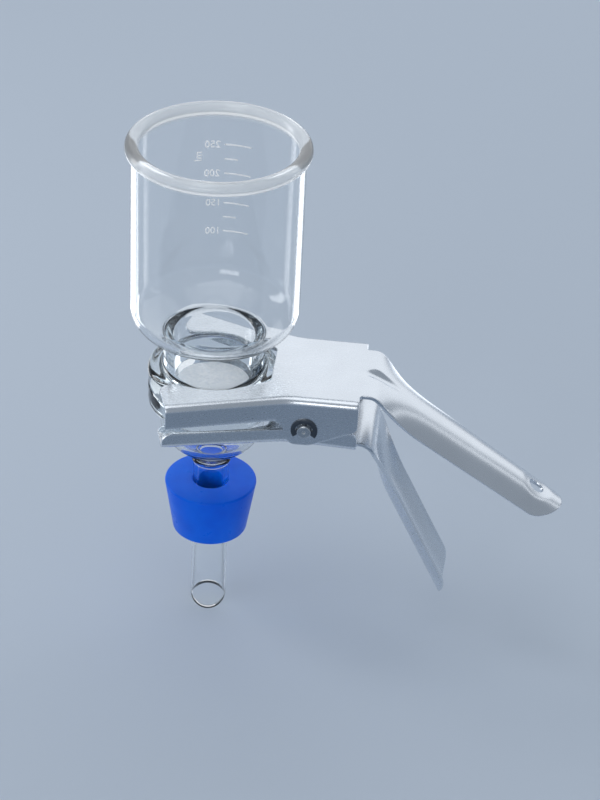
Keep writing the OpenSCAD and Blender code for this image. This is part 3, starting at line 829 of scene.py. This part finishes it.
def join(into: bmesh.types.BMesh, other: bmesh.types.BMesh) -> None:
    """Adds one mesh to another and frees it."""
    mesh = bpy.data.meshes.new("joined")
    other.to_mesh(mesh)
    other.free()
    into.from_mesh(mesh)
    bpy.data.meshes.remove(mesh)


# ---------------------------------------------------------------- clamp


@dataclass
class Dent:
    """The pressed groove that stiffens a bend."""

    radius: float = 4.0
    depth: float = 2.4
    slope: float = 25.0
    soft: float = 0.5


@dataclass
class Jaw:
    """One jaw of the clamp: a fork, two folded walls with ears, and a curled handle, in one sheet.

    The jaw is drawn with its outer face up at height 0. The blank is half of the flat sheet, in s along
    the jaw and q across it from where the fold begins, and forming bends it into shape.
    """

    name: str
    body: Body
    side: Side
    pin_z: float
    half_w: float
    prong_l: float
    walls: list[Corner]
    pin_depth: float
    bend_x: float
    slope: float
    handle_l: float
    curl_s: float
    curl_w: float
    curl_h: float
    end_w: float
    crest: float
    dent: Dent | None = None
    lean: float = 0.0
    thickness: float = 1.6
    fold_r: float = 3.2
    kink_x: float = 35.0
    kink_soft: float = 3.0
    prong_spread: float = 17.8
    throat_r: float = 24.6
    throat_tip_a: float = 100.0
    throat_root_a: float = 60.0
    throat_end_x: float = 26.3
    throat_corner_r: float = 3.5
    tip_r: float = 5.0
    wall_rear_x: float = 65.0
    notch_r: float = 1.2
    pin_x: float = 42.5
    pin_hole_r: float = 3.05
    root_half_w: float = 18.5
    bend_r: float = 8.0
    curl_soft: float = 4.0
    end_h: float = 7.2
    hang_r: float = 3.75
    hang_inset: float = 14.0
    dish_r: float = 8.5
    dish: float = 0.0
    edge: float = 0.2
    seam: float = 0.15

    def __post_init__(self) -> None:
        """Works out the bend and the length of the handle from the bend's corner."""
        self.turn = math.radians(self.slope)
        self.face_r = self.bend_r if self.crest == 0 else self.bend_r - self.thickness
        tangent = self.face_r * math.tan(self.turn / 2)
        self.root_s = self.bend_x - tangent
        self.straight_s = self.root_s + self.face_r * self.turn
        self.straight_l = self.handle_l - tangent
        self.end_s = self.straight_s + self.straight_l
        self.down = 1.0 if self.crest == 0 else -1.0

    # -- the sheet's form

    def outer_w(self, x: float) -> tuple[float, float]:
        """Half width across the walls at x, and the cosine of the wall's direction there."""
        ahead = self.kink_x - x
        soft = math.hypot(ahead, self.kink_soft)
        slope = math.tan(math.radians(self.prong_spread))
        width = self.half_w + slope * (ahead + soft) / 2
        lean = slope * (1 + ahead / soft) / 2
        return width, 1 / math.hypot(1, lean)

    def curl(self, along: float) -> tuple[float, float]:
        """Half width and depth of the handle's section at a distance past the bend."""
        k = self.curl_soft
        eased = 0.0 if along <= -k else (along + k) ** 2 / (4 * k) if along < k else along
        share = min(eased / self.curl_s, 1.0)
        done = math.sin(math.pi / 2 * share)
        rest = (self.straight_l - self.curl_s) or 1.0
        line = (along - self.curl_s) / rest
        full_w = self.curl_w + (self.end_w - self.curl_w) * line
        full_h = self.curl_h + (self.end_h - self.curl_h) * line
        return full_w + (self.root_half_w - full_w) * (1 - done), max(full_h * done, 1e-4)

    def flat(self, x: float, y: float) -> Point:
        """Blank coordinates of a point on the plate."""
        width, lean = self.outer_w(x)
        return x, (y - width) * lean + self.fold_r

    def wall(self, x: float, depth: float) -> Point:
        """Blank coordinates of a point on the folded wall, at a depth below the outer face."""
        return x, self.fold_r * math.pi / 2 + depth - self.fold_r

    def on_handle(self, s: float, y: float) -> Point:
        """Blank coordinates of a point on the handle at a distance y from its middle."""
        width, height = self.curl(s - self.straight_s)
        radius = (width**2 + height**2) / (2 * height)
        share = math.asin(min(1.0, y / radius)) / math.asin(min(1.0, width / radius))
        return s, self.fold_r - self.half_w + share * self.root_half_w

    def formed(self, s: float, q: float) -> Vector:
        """Where a point of the blank lies in the formed sheet, in millimetres."""
        if s <= self.root_s:
            return self.formed_body(s, q)
        phi = min((s - self.root_s) / self.face_r, self.turn)
        along = s - self.straight_s
        run = max(along, 0.0)
        width, height = self.curl(along)
        radius = (width**2 + height**2) / (2 * height)
        share = (q - self.fold_r + self.half_w) / self.root_half_w
        angle = share * math.asin(width / radius)
        y = radius * math.sin(angle)
        lift = self.crest * height - radius * (1 - math.cos(angle))
        lift -= self.dished(s, y)
        x = self.root_s + self.face_r * math.sin(phi) + run * math.cos(phi) + lift * self.down * math.sin(phi)
        z = -self.down * (self.face_r * (1 - math.cos(phi)) + run * math.sin(phi)) + lift * math.cos(phi)
        return self.dented(Vector((x, y, z)))

    def formed_body(self, s: float, q: float) -> Vector:
        """Where a point of the fork or its walls lies."""
        width, lean = self.outer_w(s)
        arc_l = self.fold_r * math.pi / 2
        if q <= 0:
            return self.dented(Vector((s, width + (q - self.fold_r) / lean, 0)))
        if q < arc_l:
            a = q / self.fold_r
            inset = self.fold_r * (1 - math.sin(a))
            return Vector((s, width - inset / lean, -self.fold_r * (1 - math.cos(a))))
        return Vector((s, width, -self.fold_r - (q - arc_l)))

    def dished(self, s: float, y: float) -> float:
        """How far the sheet is pressed in round the hang hole."""
        if not self.dish:
            return 0.0
        away = math.hypot(s - self.end_s + self.hang_inset, y)
        near = min(max((self.dish_r - away) / (self.dish_r - self.hang_r), 0.0), 1.0)
        return self.dish * near * near * (3 - 2 * near)

    def dented(self, p: Vector) -> Vector:
        """The point, pressed down where the groove crosses the bend."""
        if self.dent is None or abs(p.y) >= self.dent.radius or p.x < self.root_s - 12:
            return p
        slope = math.radians(self.dent.slope)
        sag = self.dent.radius - math.sqrt(self.dent.radius**2 - p.y**2)
        floor = sag / math.cos(slope) - self.dent.depth - (p.x - self.bend_x) * math.tan(slope)
        gap = p.z - floor
        soft = self.dent.soft
        p.z = p.z - (gap + math.sqrt(gap * gap + soft * soft)) / 2
        return p

    # -- the blank

    def throat(self) -> list[Point]:
        """The fork's inner edge from the prong's outer front corner to the middle, on the plate."""
        spread_a = math.radians(self.prong_spread)
        out, back = math.sin(spread_a), math.cos(spread_a)
        tip = (self.kink_x - self.prong_l * back, self.half_w + self.prong_l * out)
        a_tip, a_root = math.radians(self.throat_tip_a), math.radians(self.throat_root_a)
        on_tip = (self.throat_r * math.cos(a_tip), self.throat_r * math.sin(a_tip))
        on_root = (self.throat_r * math.cos(a_root), self.throat_r * math.sin(a_root))
        tip_corner = crossing(tip, (-out, -back), on_tip, (-math.sin(a_tip), math.cos(a_tip)))
        end_corner = crossing(
            on_root, (math.sin(a_root), -math.cos(a_root)), (self.throat_end_x, 0), (0, 1)
        )
        line = fillet(tip, tip_corner, on_tip, self.tip_r, 8)
        line += arc((0, 0), self.throat_r, self.throat_tip_a, self.throat_root_a, 20)
        line += fillet(on_root, end_corner, (self.throat_end_x, 0), self.throat_corner_r, 6)
        return line

    def front(self) -> list[Point]:
        """The prong's front end in the blank, from the wall's lowest corner to the plate."""
        spread_a = math.radians(self.prong_spread)
        tip_x = self.kink_x - self.prong_l * math.cos(spread_a)
        return [
            (tip_x - self.fold_r * (1 - math.sin(a)) * math.sin(spread_a), self.fold_r * a)
            for a in spread(math.pi / 2, 0, 0.35)
        ]

    def blank(self) -> list[list[Point]]:
        """Two outlines that make half of the flat sheet, split at the pin."""
        low, high = self.pin_depth - self.pin_hole_r, self.pin_depth + self.pin_hole_r
        edge = rounded([(x, self.wall(x, depth)[1], r) for x, depth, r in self.walls], closed=False)
        before = [p for p in edge if p[0] < self.pin_x]
        behind = [p for p in edge if p[0] > self.pin_x]
        lowest = edge_at(edge, self.pin_x)
        hole = self.wall(self.pin_x, self.pin_depth)
        middle = [self.flat(x, 0) for x in spread(self.pin_x, self.throat_end_x, 2.0)]
        left = before + [lowest] + arc(hole, self.pin_hole_r, 90, 270, 12) + middle
        left += [self.flat(*p) for p in reversed(self.throat())] + list(reversed(self.front()))
        corner = rounded(
            [
                (self.wall_rear_x, 0.0, 0.0),
                (self.wall_rear_x, self.fold_r - self.half_w + self.root_half_w, self.notch_r),
                (self.root_s, self.fold_r - self.half_w + self.root_half_w, 0.0),
            ],
            closed=False,
        )
        grip = self.end_s - self.end_w
        end = []
        for a in spread(90, 0, 5):
            s = grip + self.end_w * math.cos(math.radians(a))
            width = self.curl(s - self.straight_s)[0]
            end.append(self.on_handle(s, width * math.sin(math.radians(a))))
        hang_s = self.end_s - self.hang_inset
        hang = [self.on_handle(x, y) for x, y in arc((hang_s, 0), self.hang_r, 0, 180, 16)]
        right = [lowest] + behind + corner + end + hang + [middle[0]]
        right += arc(hole, self.pin_hole_r, -90, 90, 12)
        return [left, right]

    def cuts(self) -> tuple[list[float], list[float]]:
        """Where the blank is divided, along and across."""
        hang = self.end_s - self.hang_inset
        along = spread(self.kink_x - 60, self.kink_x - 8, 6) + spread(self.kink_x - 7, self.kink_x + 7, 1)
        along += spread(self.kink_x + 11, self.wall_rear_x - 1, 5)
        along += spread(self.wall_rear_x + 0.8, self.root_s, 0.7)
        along += spread(self.root_s, self.straight_s, 0.55)[1:]
        along += spread(self.straight_s, self.straight_s + 16, 0.7)[1:]
        along += spread(self.straight_s + 16, hang - 9, 2.2)[1:]
        along += spread(hang - 9, self.end_s - 3, 0.8)[1:]
        along += spread(self.end_s - 3, self.end_s - 0.8, 0.7)[1:]
        centre = self.fold_r - self.half_w
        across = [centre + y for y in spread(0, 6.0, 0.55)[1:] + spread(6.0, self.root_half_w, 1.1)[1:-1]]
        across += [centre + self.root_half_w + 1.6, -1.2, 0.0]
        across += [self.fold_r * a for a in spread(0, math.pi / 2, math.radians(9))[1:]]
        across += spread(self.fold_r * math.pi / 2, 24.0, 3.0)[1:]
        return along, across

    def sheet(self) -> bmesh.types.BMesh:
        """The half blank, divided and still flat, in millimetres."""
        bm = bmesh.new()
        for outline in self.blank():
            bm.faces.new([bm.verts.new((s, q, 0)) for s, q in outline])
        along, across = self.cuts()
        for points, axis in ((along, 0), (across, 1)):
            for value in points:
                place, normal = Vector((0, 0, 0)), Vector((0, 0, 0))
                place[axis], normal[axis] = value, 1.0
                geometry = bm.verts[:] + bm.edges[:] + bm.faces[:]
                bmesh.ops.bisect_plane(bm, geom=geometry, plane_co=place, plane_no=normal, dist=1e-3)
        bmesh.ops.remove_doubles(bm, verts=bm.verts, dist=0.12)
        bmesh.ops.recalc_face_normals(bm, faces=bm.faces)
        return bm

    def build(self) -> bpy.types.Object:
        """The jaw, formed, given its thickness and hung on the pin."""
        bm = self.sheet()
        for v in bm.verts:
            v.co = self.formed(v.co.x, v.co.y)
            if abs(v.co.y) < self.seam:
                v.co.y = 0.0
        bmesh.ops.mirror(bm, geom=bm.verts[:] + bm.edges[:] + bm.faces[:], axis="Y", merge_dist=1e-3)
        bmesh.ops.recalc_face_normals(bm, faces=bm.faces)
        plate = max(bm.faces, key=lambda f: f.calc_area() if abs(f.normal.z) > 0.99 else 0)
        if plate.normal.z < 0:
            bmesh.ops.reverse_faces(bm, faces=bm.faces)
        bmesh.ops.solidify(bm, geom=bm.faces[:], thickness=self.thickness)
        bmesh.ops.scale(bm, vec=(MM, MM, MM * self.side.value), verts=bm.verts)
        to_pin = Vector((-self.pin_x, 0, self.pin_depth * self.side.value)) * MM
        bmesh.ops.translate(bm, vec=to_pin, verts=bm.verts)
        leaning = Matrix.Rotation(math.radians(self.lean), 3, "Y")
        bmesh.ops.rotate(bm, verts=bm.verts, cent=(0, 0, 0), matrix=leaning)
        bmesh.ops.translate(bm, vec=(self.pin_x * MM, 0, self.pin_z * MM), verts=bm.verts)
        bmesh.ops.recalc_face_normals(bm, faces=bm.faces)
        soften(bm, self.edge)
        return piece(bm, self.name + "_sheet", SATIN_ALUMINIUM, self.body, self.name, crease=40.0)


def crossing(a: Point, u: Point, b: Point, v: Point) -> Point:
    """Where the lines from a along u and from b along v cross."""
    share = ((b[0] - a[0]) * v[1] - (b[1] - a[1]) * v[0]) / (u[0] * v[1] - u[1] * v[0])
    return a[0] + share * u[0], a[1] + share * u[1]


def edge_at(edge: list[Point], x: float) -> Point:
    """The point at x on an open outline, on its far side from the fold."""
    found = (x, 0.0)
    for a, b in zip(edge, edge[1:]):
        if min(a[0], b[0]) <= x <= max(a[0], b[0]) and a[0] != b[0]:
            y = a[1] + (b[1] - a[1]) * (x - a[0]) / (b[0] - a[0])
            found = max(found, (x, y), key=lambda p: p[1])
    return found


@dataclass
class Pivot:
    """The hinge pin, the clip that holds it, and the spring that closes the jaws."""

    pin_r: float = 3.0
    half_w: float = 25.6
    head_r: float = 4.75
    head_t: float = 1.5
    clip_r: float = 5.7
    clip_t: float = 0.8
    clip_bow: float = 1.9
    clip_open: float = 110.0
    clip_tooth: float = 1.1
    clip_edge: float = 0.12
    groove_r: float = 2.5
    end: float = 1.2
    dimple_r: float = 0.8
    fit: float = 0.05
    wire_r: float = 0.9
    coil_r: float = 4.6
    coil_turns: int = 5
    coil_pitch: float = 2.1
    leg_reach: float = 15.0

    def __post_init__(self) -> None:
        """Takes the pin's place from the frame."""
        low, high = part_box("pivot_pin")
        self.x = (low.x + high.x) / 2 / MM
        self.z = (low.z + high.z) / 2 / MM

    def placed(self, bm: bmesh.types.BMesh) -> bmesh.types.BMesh:
        """Stands a piece that was made along Z on the pin's axis, its Z towards -Y."""
        bmesh.ops.rotate(bm, verts=bm.verts, cent=(0, 0, 0), matrix=Matrix.Rotation(math.pi / 2, 3, "X"))
        bmesh.ops.translate(bm, verts=bm.verts, vec=(self.x * MM, 0, self.z * MM))
        bmesh.ops.recalc_face_normals(bm, faces=bm.faces)
        return bm

    def pin(self) -> bpy.types.Object:
        """The pin, with its flat head, its clip groove and the centre mark in its end."""
        seat = self.half_w + self.fit
        top = seat + self.clip_t + self.end
        section = rounded(
            [
                (0.0, -self.half_w - self.head_t, 0.0),
                (self.head_r, -self.half_w - self.head_t, 0.5),
                (self.head_r, -self.half_w, 0.15),
                (self.pin_r, -self.half_w, 0.0),
                (self.pin_r, seat, 0.1),
                (self.groove_r, seat, 0.1),
                (self.groove_r, seat + self.clip_t + self.fit, 0.1),
                (self.pin_r, seat + self.clip_t + self.fit, 0.1),
                (self.pin_r, top, 0.45),
                (self.dimple_r, top, 0.15),
                (self.dimple_r * 0.4, top - 0.5, 0.1),
                (0.0, top - 0.55, 0.0),
            ],
            steps=3,
        )
        return piece(self.placed(turned(section, 64)), "hinge_pin", BRIGHT_STEEL, Body.ROOT, "pivot_pin")

    def clip(self) -> bpy.types.Object:
        """The E-shaped clip, its opening downwards."""
        half = self.clip_open / 2
        inner = self.clip_r - self.clip_bow
        grip = self.groove_r + self.fit
        start, finish = -90 + half, 270 - half
        outline = arc((0, 0), self.clip_r, start, finish, 36)
        stops = [250 - half, 90.0, half - 70]
        inside: list[Point] = []
        reach = math.degrees(math.asin(self.clip_tooth / inner))
        bite = math.degrees(math.asin(self.clip_tooth / grip))
        at = finish
        for stop in stops:
            if at > stop + reach:
                inside += arc((0, 0), inner, at, stop + reach, 8)
            inside += arc((0, 0), grip, stop + bite, stop - bite, 4)
            at = stop - reach
        if at > start:
            inside += arc((0, 0), inner, at, start, 8)
        seat = self.half_w + self.fit
        bm = prism(outline + inside, seat, seat + self.clip_t)
        soften(bm, self.clip_edge)
        return piece(self.placed(bm), "e_clip", DARK_STEEL, Body.ROOT, "retaining_clip")

    def spring(self) -> bpy.types.Object:
        """The torsion spring: its far leg presses the upper plate, its near leg the lower one."""
        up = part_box("upper_jaw")[1].z / MM - Jaw.thickness - self.z - self.wire_r - self.fit
        plate = lower_jaw()
        lean = math.radians(plate.lean)
        depth = plate.pin_depth - plate.thickness
        down = (self.wire_r + self.fit - depth) / math.cos(lean) - self.leg_reach * math.tan(lean)
        tangent = math.acos(self.coil_r / math.hypot(self.leg_reach, up))
        start = math.atan2(up, self.leg_reach) + tangent
        tangent = math.acos(self.coil_r / math.hypot(self.leg_reach, down))
        end = math.tau + math.atan2(down, self.leg_reach) - tangent
        sweep = end - start + math.tau * self.coil_turns
        half_l = sweep / math.tau * self.coil_pitch / 2
        steps = math.ceil(math.degrees(sweep) / 12)
        route = [Vector((self.leg_reach, half_l, up))]
        for i in range(steps + 1):
            a = start + sweep * i / steps
            y = half_l - 2 * half_l * i / steps
            route.append(Vector((self.coil_r * math.cos(a), y, self.coil_r * math.sin(a))))
        route.append(Vector((self.leg_reach, -half_l, down)))
        curve = bpy.data.curves.new("wire", "CURVE")
        curve.dimensions = "3D"
        curve.bevel_depth = self.wire_r * MM
        curve.bevel_resolution = 3
        curve.use_fill_caps = True
        line = curve.splines.new("POLY")
        line.points.add(len(route) - 1)
        for point, place in zip(line.points, route):
            point.co = (*(place + Vector((self.x, 0, self.z))) * MM, 1)
        holder = bpy.data.objects.new("wire", curve)
        mesh = bpy.data.meshes.new_from_object(holder)
        bpy.data.objects.remove(holder)
        bpy.data.curves.remove(curve)
        bm = bmesh.new()
        bm.from_mesh(mesh)
        bpy.data.meshes.remove(mesh)
        bmesh.ops.remove_doubles(bm, verts=bm.verts, dist=1e-6)
        bmesh.ops.recalc_face_normals(bm, faces=bm.faces)
        obj = piece(bm, "spring_wire", BRIGHT_STEEL, None, "torsion_spring")
        place = (self.x * MM, self.z * MM)
        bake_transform(obj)
        return obj

    def build(self) -> list[bpy.types.Object]:
        """The three pieces."""
        return [self.pin(), self.clip(), self.spring()]


def upper_jaw() -> Jaw:
    """The jaw that presses on the funnel's flange: ears at the pivot, a groove across its bend."""
    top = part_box("upper_jaw")[1].z / MM
    pin_z = Pivot().z
    prong_l, wall_h, ear_h, rear_h = 52.2, 10.8, 23.0, 14.0
    rear_x = Jaw.wall_rear_x
    tip_x = Jaw.kink_x - prong_l * math.cos(math.radians(Jaw.prong_spread))
    return Jaw(
        name="upper_jaw", body=Body.ROOT, side=Side.UP, pin_z=pin_z, half_w=Pivot.half_w, prong_l=prong_l,
        walls=[(tip_x, wall_h, 0.0), (32.0, wall_h, 5.4), (36.0, ear_h, 4.0), (44.6, ear_h, 2.0),
               (rear_x, rear_h, 3.5), (rear_x, Jaw.fold_r, 0.0)],
        pin_depth=top - pin_z, bend_x=70.9, slope=34.2, handle_l=102.7,
        curl_s=28.0, curl_w=15.8, curl_h=6.6, end_w=13.0, crest=0.0, dent=Dent(), dish=0.55,
    )


def lower_jaw() -> Jaw:
    """The jaw that presses up on the base's flange and swings on the pin inside the upper one.

    It leans: its prongs' inner edges meet the flat of the flange's underside, and its rear end lies lower.
    """
    pivot, lean, grip_gap = Pivot(), 2.4, 0.02
    prong_l, wall_h, rear_h = 53.6, 7.8, 9.4
    rear_x = Jaw.wall_rear_x
    touch_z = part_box("base")[1].z / MM - Base.flange_h - grip_gap
    flat_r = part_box("base")[1].x / MM - Base.flange_r
    turn = math.radians(Jaw.throat_tip_a)
    touch_x = Jaw.throat_r * math.cos(turn) - math.sqrt(flat_r**2 - Jaw.throat_r**2) * math.sin(turn)
    lean_a = math.radians(lean)
    depth = (pivot.z - touch_z) * math.cos(lean_a) + (pivot.x - touch_x) * math.sin(lean_a) + Jaw.thickness
    tip_x = Jaw.kink_x - prong_l * math.cos(math.radians(Jaw.prong_spread))
    ear_r = 6.0
    ear_front, ear_rear, ear_h = pivot.x - ear_r, pivot.x + ear_r, depth + ear_r
    nest_w = Pivot.half_w - Jaw.thickness - 0.4
    return Jaw(
        name="lower_jaw", body=Body.LOWER_JAW, side=Side.DOWN, pin_z=pivot.z, half_w=nest_w, prong_l=prong_l,
        walls=[(tip_x, Jaw.fold_r, 0.0), (tip_x, wall_h, 4.0), (ear_front, wall_h, 2.0),
               (ear_front, ear_h, 4.0), (ear_rear, ear_h, 4.0), (ear_rear, rear_h, 2.0),
               (rear_x, rear_h, 4.0), (rear_x, Jaw.fold_r, 0.0)],
        pin_depth=depth, lean=lean, bend_x=69.7, slope=60.5, handle_l=92.0,
        curl_s=30.0, curl_w=12.6, curl_h=7.0, end_w=12.4, crest=1.0,
    )


# ---------------------------------------------------------------- studio


@dataclass
class Studio:
    """Floor, lights and camera."""

    pale: Colour = (0.58, 0.65, 0.74)
    shade: Colour = (0.26, 0.32, 0.40)
    ambient: float = 0.50
    backdrop: float = 0.95
    matt: float = 0.9
    sheen: float = 0.1
    floor_half: float = 3.0
    floor_gap: float = 0.0002
    flag_lift: float = 0.0004
    flag_w: float = 0.70
    flag_l: float = 0.50
    flag_y: float = -0.36
    azimuth: float = 7.0
    elevation: float = 33.526
    roll: float = 1.435
    pan: float = -2.058
    tilt: float = 0.051
    lens: float = 109.1
    place: Point3 = (0.1074, -0.8744, 0.6388)
    card_z: float = 0.1325
    card_reach: float = 0.2
    card_spread: float = 80.0
    heart: Point3 = (0.03, 0.0, 0.07)

    def camera(self) -> bpy.types.Object:
        """The camera, a little above the object and in front of it."""
        data = bpy.data.cameras.new("camera")
        data.lens = self.lens
        data.clip_end = 20
        cam = bpy.data.objects.new("camera", data)
        a, e = math.radians(self.azimuth), math.radians(self.elevation)
        right = Vector((math.cos(a), math.sin(a), 0))
        ahead = Vector((-math.sin(a) * math.cos(e), math.cos(a) * math.cos(e), -math.sin(e)))
        base = Matrix((right, right.cross(ahead), -ahead)).transposed()
        own = Matrix.Rotation(math.radians(self.roll), 3, "Z")
        own = own @ Matrix.Rotation(math.radians(-self.tilt), 3, "X")
        own = own @ Matrix.Rotation(math.radians(self.pan), 3, "Y")
        cam.matrix_world = Matrix.Translation(self.place) @ (base @ own).to_4x4()
        bpy.context.scene.collection.objects.link(cam)
        bpy.context.scene.camera = cam
        return cam

    def staged(self, bm: bmesh.types.BMesh, name: str, colour: Colour) -> bpy.types.Object:
        """A matt sheet of the studio.

        Args:
            bm: Its mesh, in place. It is freed.
            name: Its name.
            colour: Its colour.

        Returns:
            The sheet.
        """
        mesh = bpy.data.meshes.new(name)
        bm.to_mesh(mesh)
        bm.free()
        obj = bpy.data.objects.new(name, mesh)
        bpy.context.scene.collection.objects.link(obj)
        material = bpy.data.materials.new(name)
        material.use_nodes = True
        shader = material.node_tree.nodes["Principled BSDF"]
        shader.inputs["Base Color"].default_value = (*colour, 1)
        shader.inputs["Roughness"].default_value = self.matt
        shader.inputs["Specular IOR Level"].default_value = self.sheen
        mesh.materials.append(material)
        return obj

    def floor(self) -> bpy.types.Object:
        """A pale floor under the lowest point."""
        bm = bmesh.new()
        bmesh.ops.create_grid(bm, x_segments=1, y_segments=1, size=self.floor_half)
        bmesh.ops.translate(bm, verts=bm.verts, vec=(0, 0, cad_box[0].z - self.floor_gap))
        return self.staged(bm, "floor", self.pale)

    def flag(self) -> bpy.types.Object:
        """A darker sheet on the floor in front, seen only in what the metal and the glass mirror."""
        bm = bmesh.new()
        bmesh.ops.create_grid(bm, x_segments=1, y_segments=1, size=0.5)
        bmesh.ops.scale(bm, vec=(self.flag_w, self.flag_l, 1), verts=bm.verts)
        bmesh.ops.translate(bm, vec=(0, self.flag_y, cad_box[0].z + self.flag_lift), verts=bm.verts)
        obj = self.staged(bm, "flag", self.shade)
        obj.visible_camera = False
        obj.visible_diffuse = False
        obj.visible_shadow = False
        return obj

    def world(self) -> None:
        """Even light from all round, and a pale backdrop that only the camera sees."""
        world = bpy.data.worlds.new("studio")
        world.use_nodes = True
        bpy.context.scene.world = world
        tree = world.node_tree
        back = tree.nodes["Background"]
        back.inputs["Color"].default_value = (*self.pale, 1)
        back.inputs["Strength"].default_value = self.ambient
        seen = tree.nodes.new("ShaderNodeBackground")
        seen.inputs["Color"].default_value = (*self.pale, 1)
        seen.inputs["Strength"].default_value = self.backdrop
        path = tree.nodes.new("ShaderNodeLightPath")
        mix = tree.nodes.new("ShaderNodeMixShader")
        tree.links.new(path.outputs["Is Camera Ray"], mix.inputs["Fac"])
        tree.links.new(back.outputs[0], mix.inputs[1])
        tree.links.new(seen.outputs[0], mix.inputs[2])
        tree.links.new(mix.outputs[0], tree.nodes["World Output"].inputs["Surface"])

    def lamp(
        self, name: str, place: Point3, aim: Point3, size: Point, power: float, spread_a: float = 180.0
    ) -> bpy.types.Object:
        """A soft rectangular lamp.

        Args:
            name: Its name.
            place: Where it hangs, in metres.
            aim: What it points at, in metres.
            size: Its width and height, in metres.
            power: Its power in watts.
            spread_a: How wide its light spreads, in degrees.

        Returns:
            The lamp.
        """
        data = bpy.data.lights.new(name, "AREA")
        data.shape = "RECTANGLE"
        data.size, data.size_y = size
        data.energy = power
        data.spread = math.radians(spread_a)
        lamp = bpy.data.objects.new(name, data)
        towards = Vector(aim) - Vector(place)
        lamp.matrix_world = Matrix.Translation(place) @ towards.to_track_quat("-Z", "Y").to_matrix().to_4x4()
        bpy.context.scene.collection.objects.link(lamp)
        return lamp

    def card(self, name: str, side: float, turn: float, size: Point, power: float) -> None:
        """A low panel behind the glass that draws a bright line along its edge.

        Args:
            name: Its name.
            side: Where the line lies, from the glass axis along X, in metres.
            turn: Direction from there to the panel, from +Y towards +X, in degrees.
            size: The panel's width and height, in metres.
            power: Its power in watts.
        """
        a, e = math.radians(turn), math.radians(self.elevation)
        edge = Vector((side, 0, self.card_z))
        away = Vector((math.sin(a) * math.cos(e), math.cos(a) * math.cos(e), -math.sin(e)))
        place = edge + away * self.card_reach
        lamp = self.lamp(name, tuple(place), tuple(edge), size, power, self.card_spread)
        lamp.visible_camera = False

    def build(self) -> None:
        """The whole studio."""
        bpy.context.scene.view_settings.view_transform = "Standard"
        self.camera()
        self.floor()
        self.flag()
        self.world()
        self.lamp("back_box", (0.30, 1.35, 0.85), self.heart, (2.4, 1.7), 8.5)
        self.lamp("top_box", (-0.2, -0.2, 1.6), self.heart, (1.2, 1.2), 4.5)
        self.lamp("front_box", (-0.35, -1.6, 0.55), self.heart, (0.8, 0.6), 4.5)
        self.lamp("left_strip", (-0.8, 0.25, 0.30), self.heart, (0.22, 0.9), 2.0)
        self.lamp("right_strip", (0.9, 0.35, 0.35), self.heart, (0.12, 0.8), 0.25)
        self.card("left_card", -0.036, -36.0, (0.063, 0.115), 0.008)
        self.card("right_card", 0.036, 24.0, (0.05, 0.115), 0.006)


def main() -> None:
    """Builds the object from its sub-assemblies, then the studio round it."""
    logging.basicConfig(level=logging.INFO, format="%(message)s")
    Funnel().build()
    Base().build()
    FritDisc().build()
    Stopper().build()
    Graduation().build()
    upper_jaw().build()
    lower_jaw().build()
    Pivot().build()
    Studio().build()


if __name__ == "__main__":
    main()
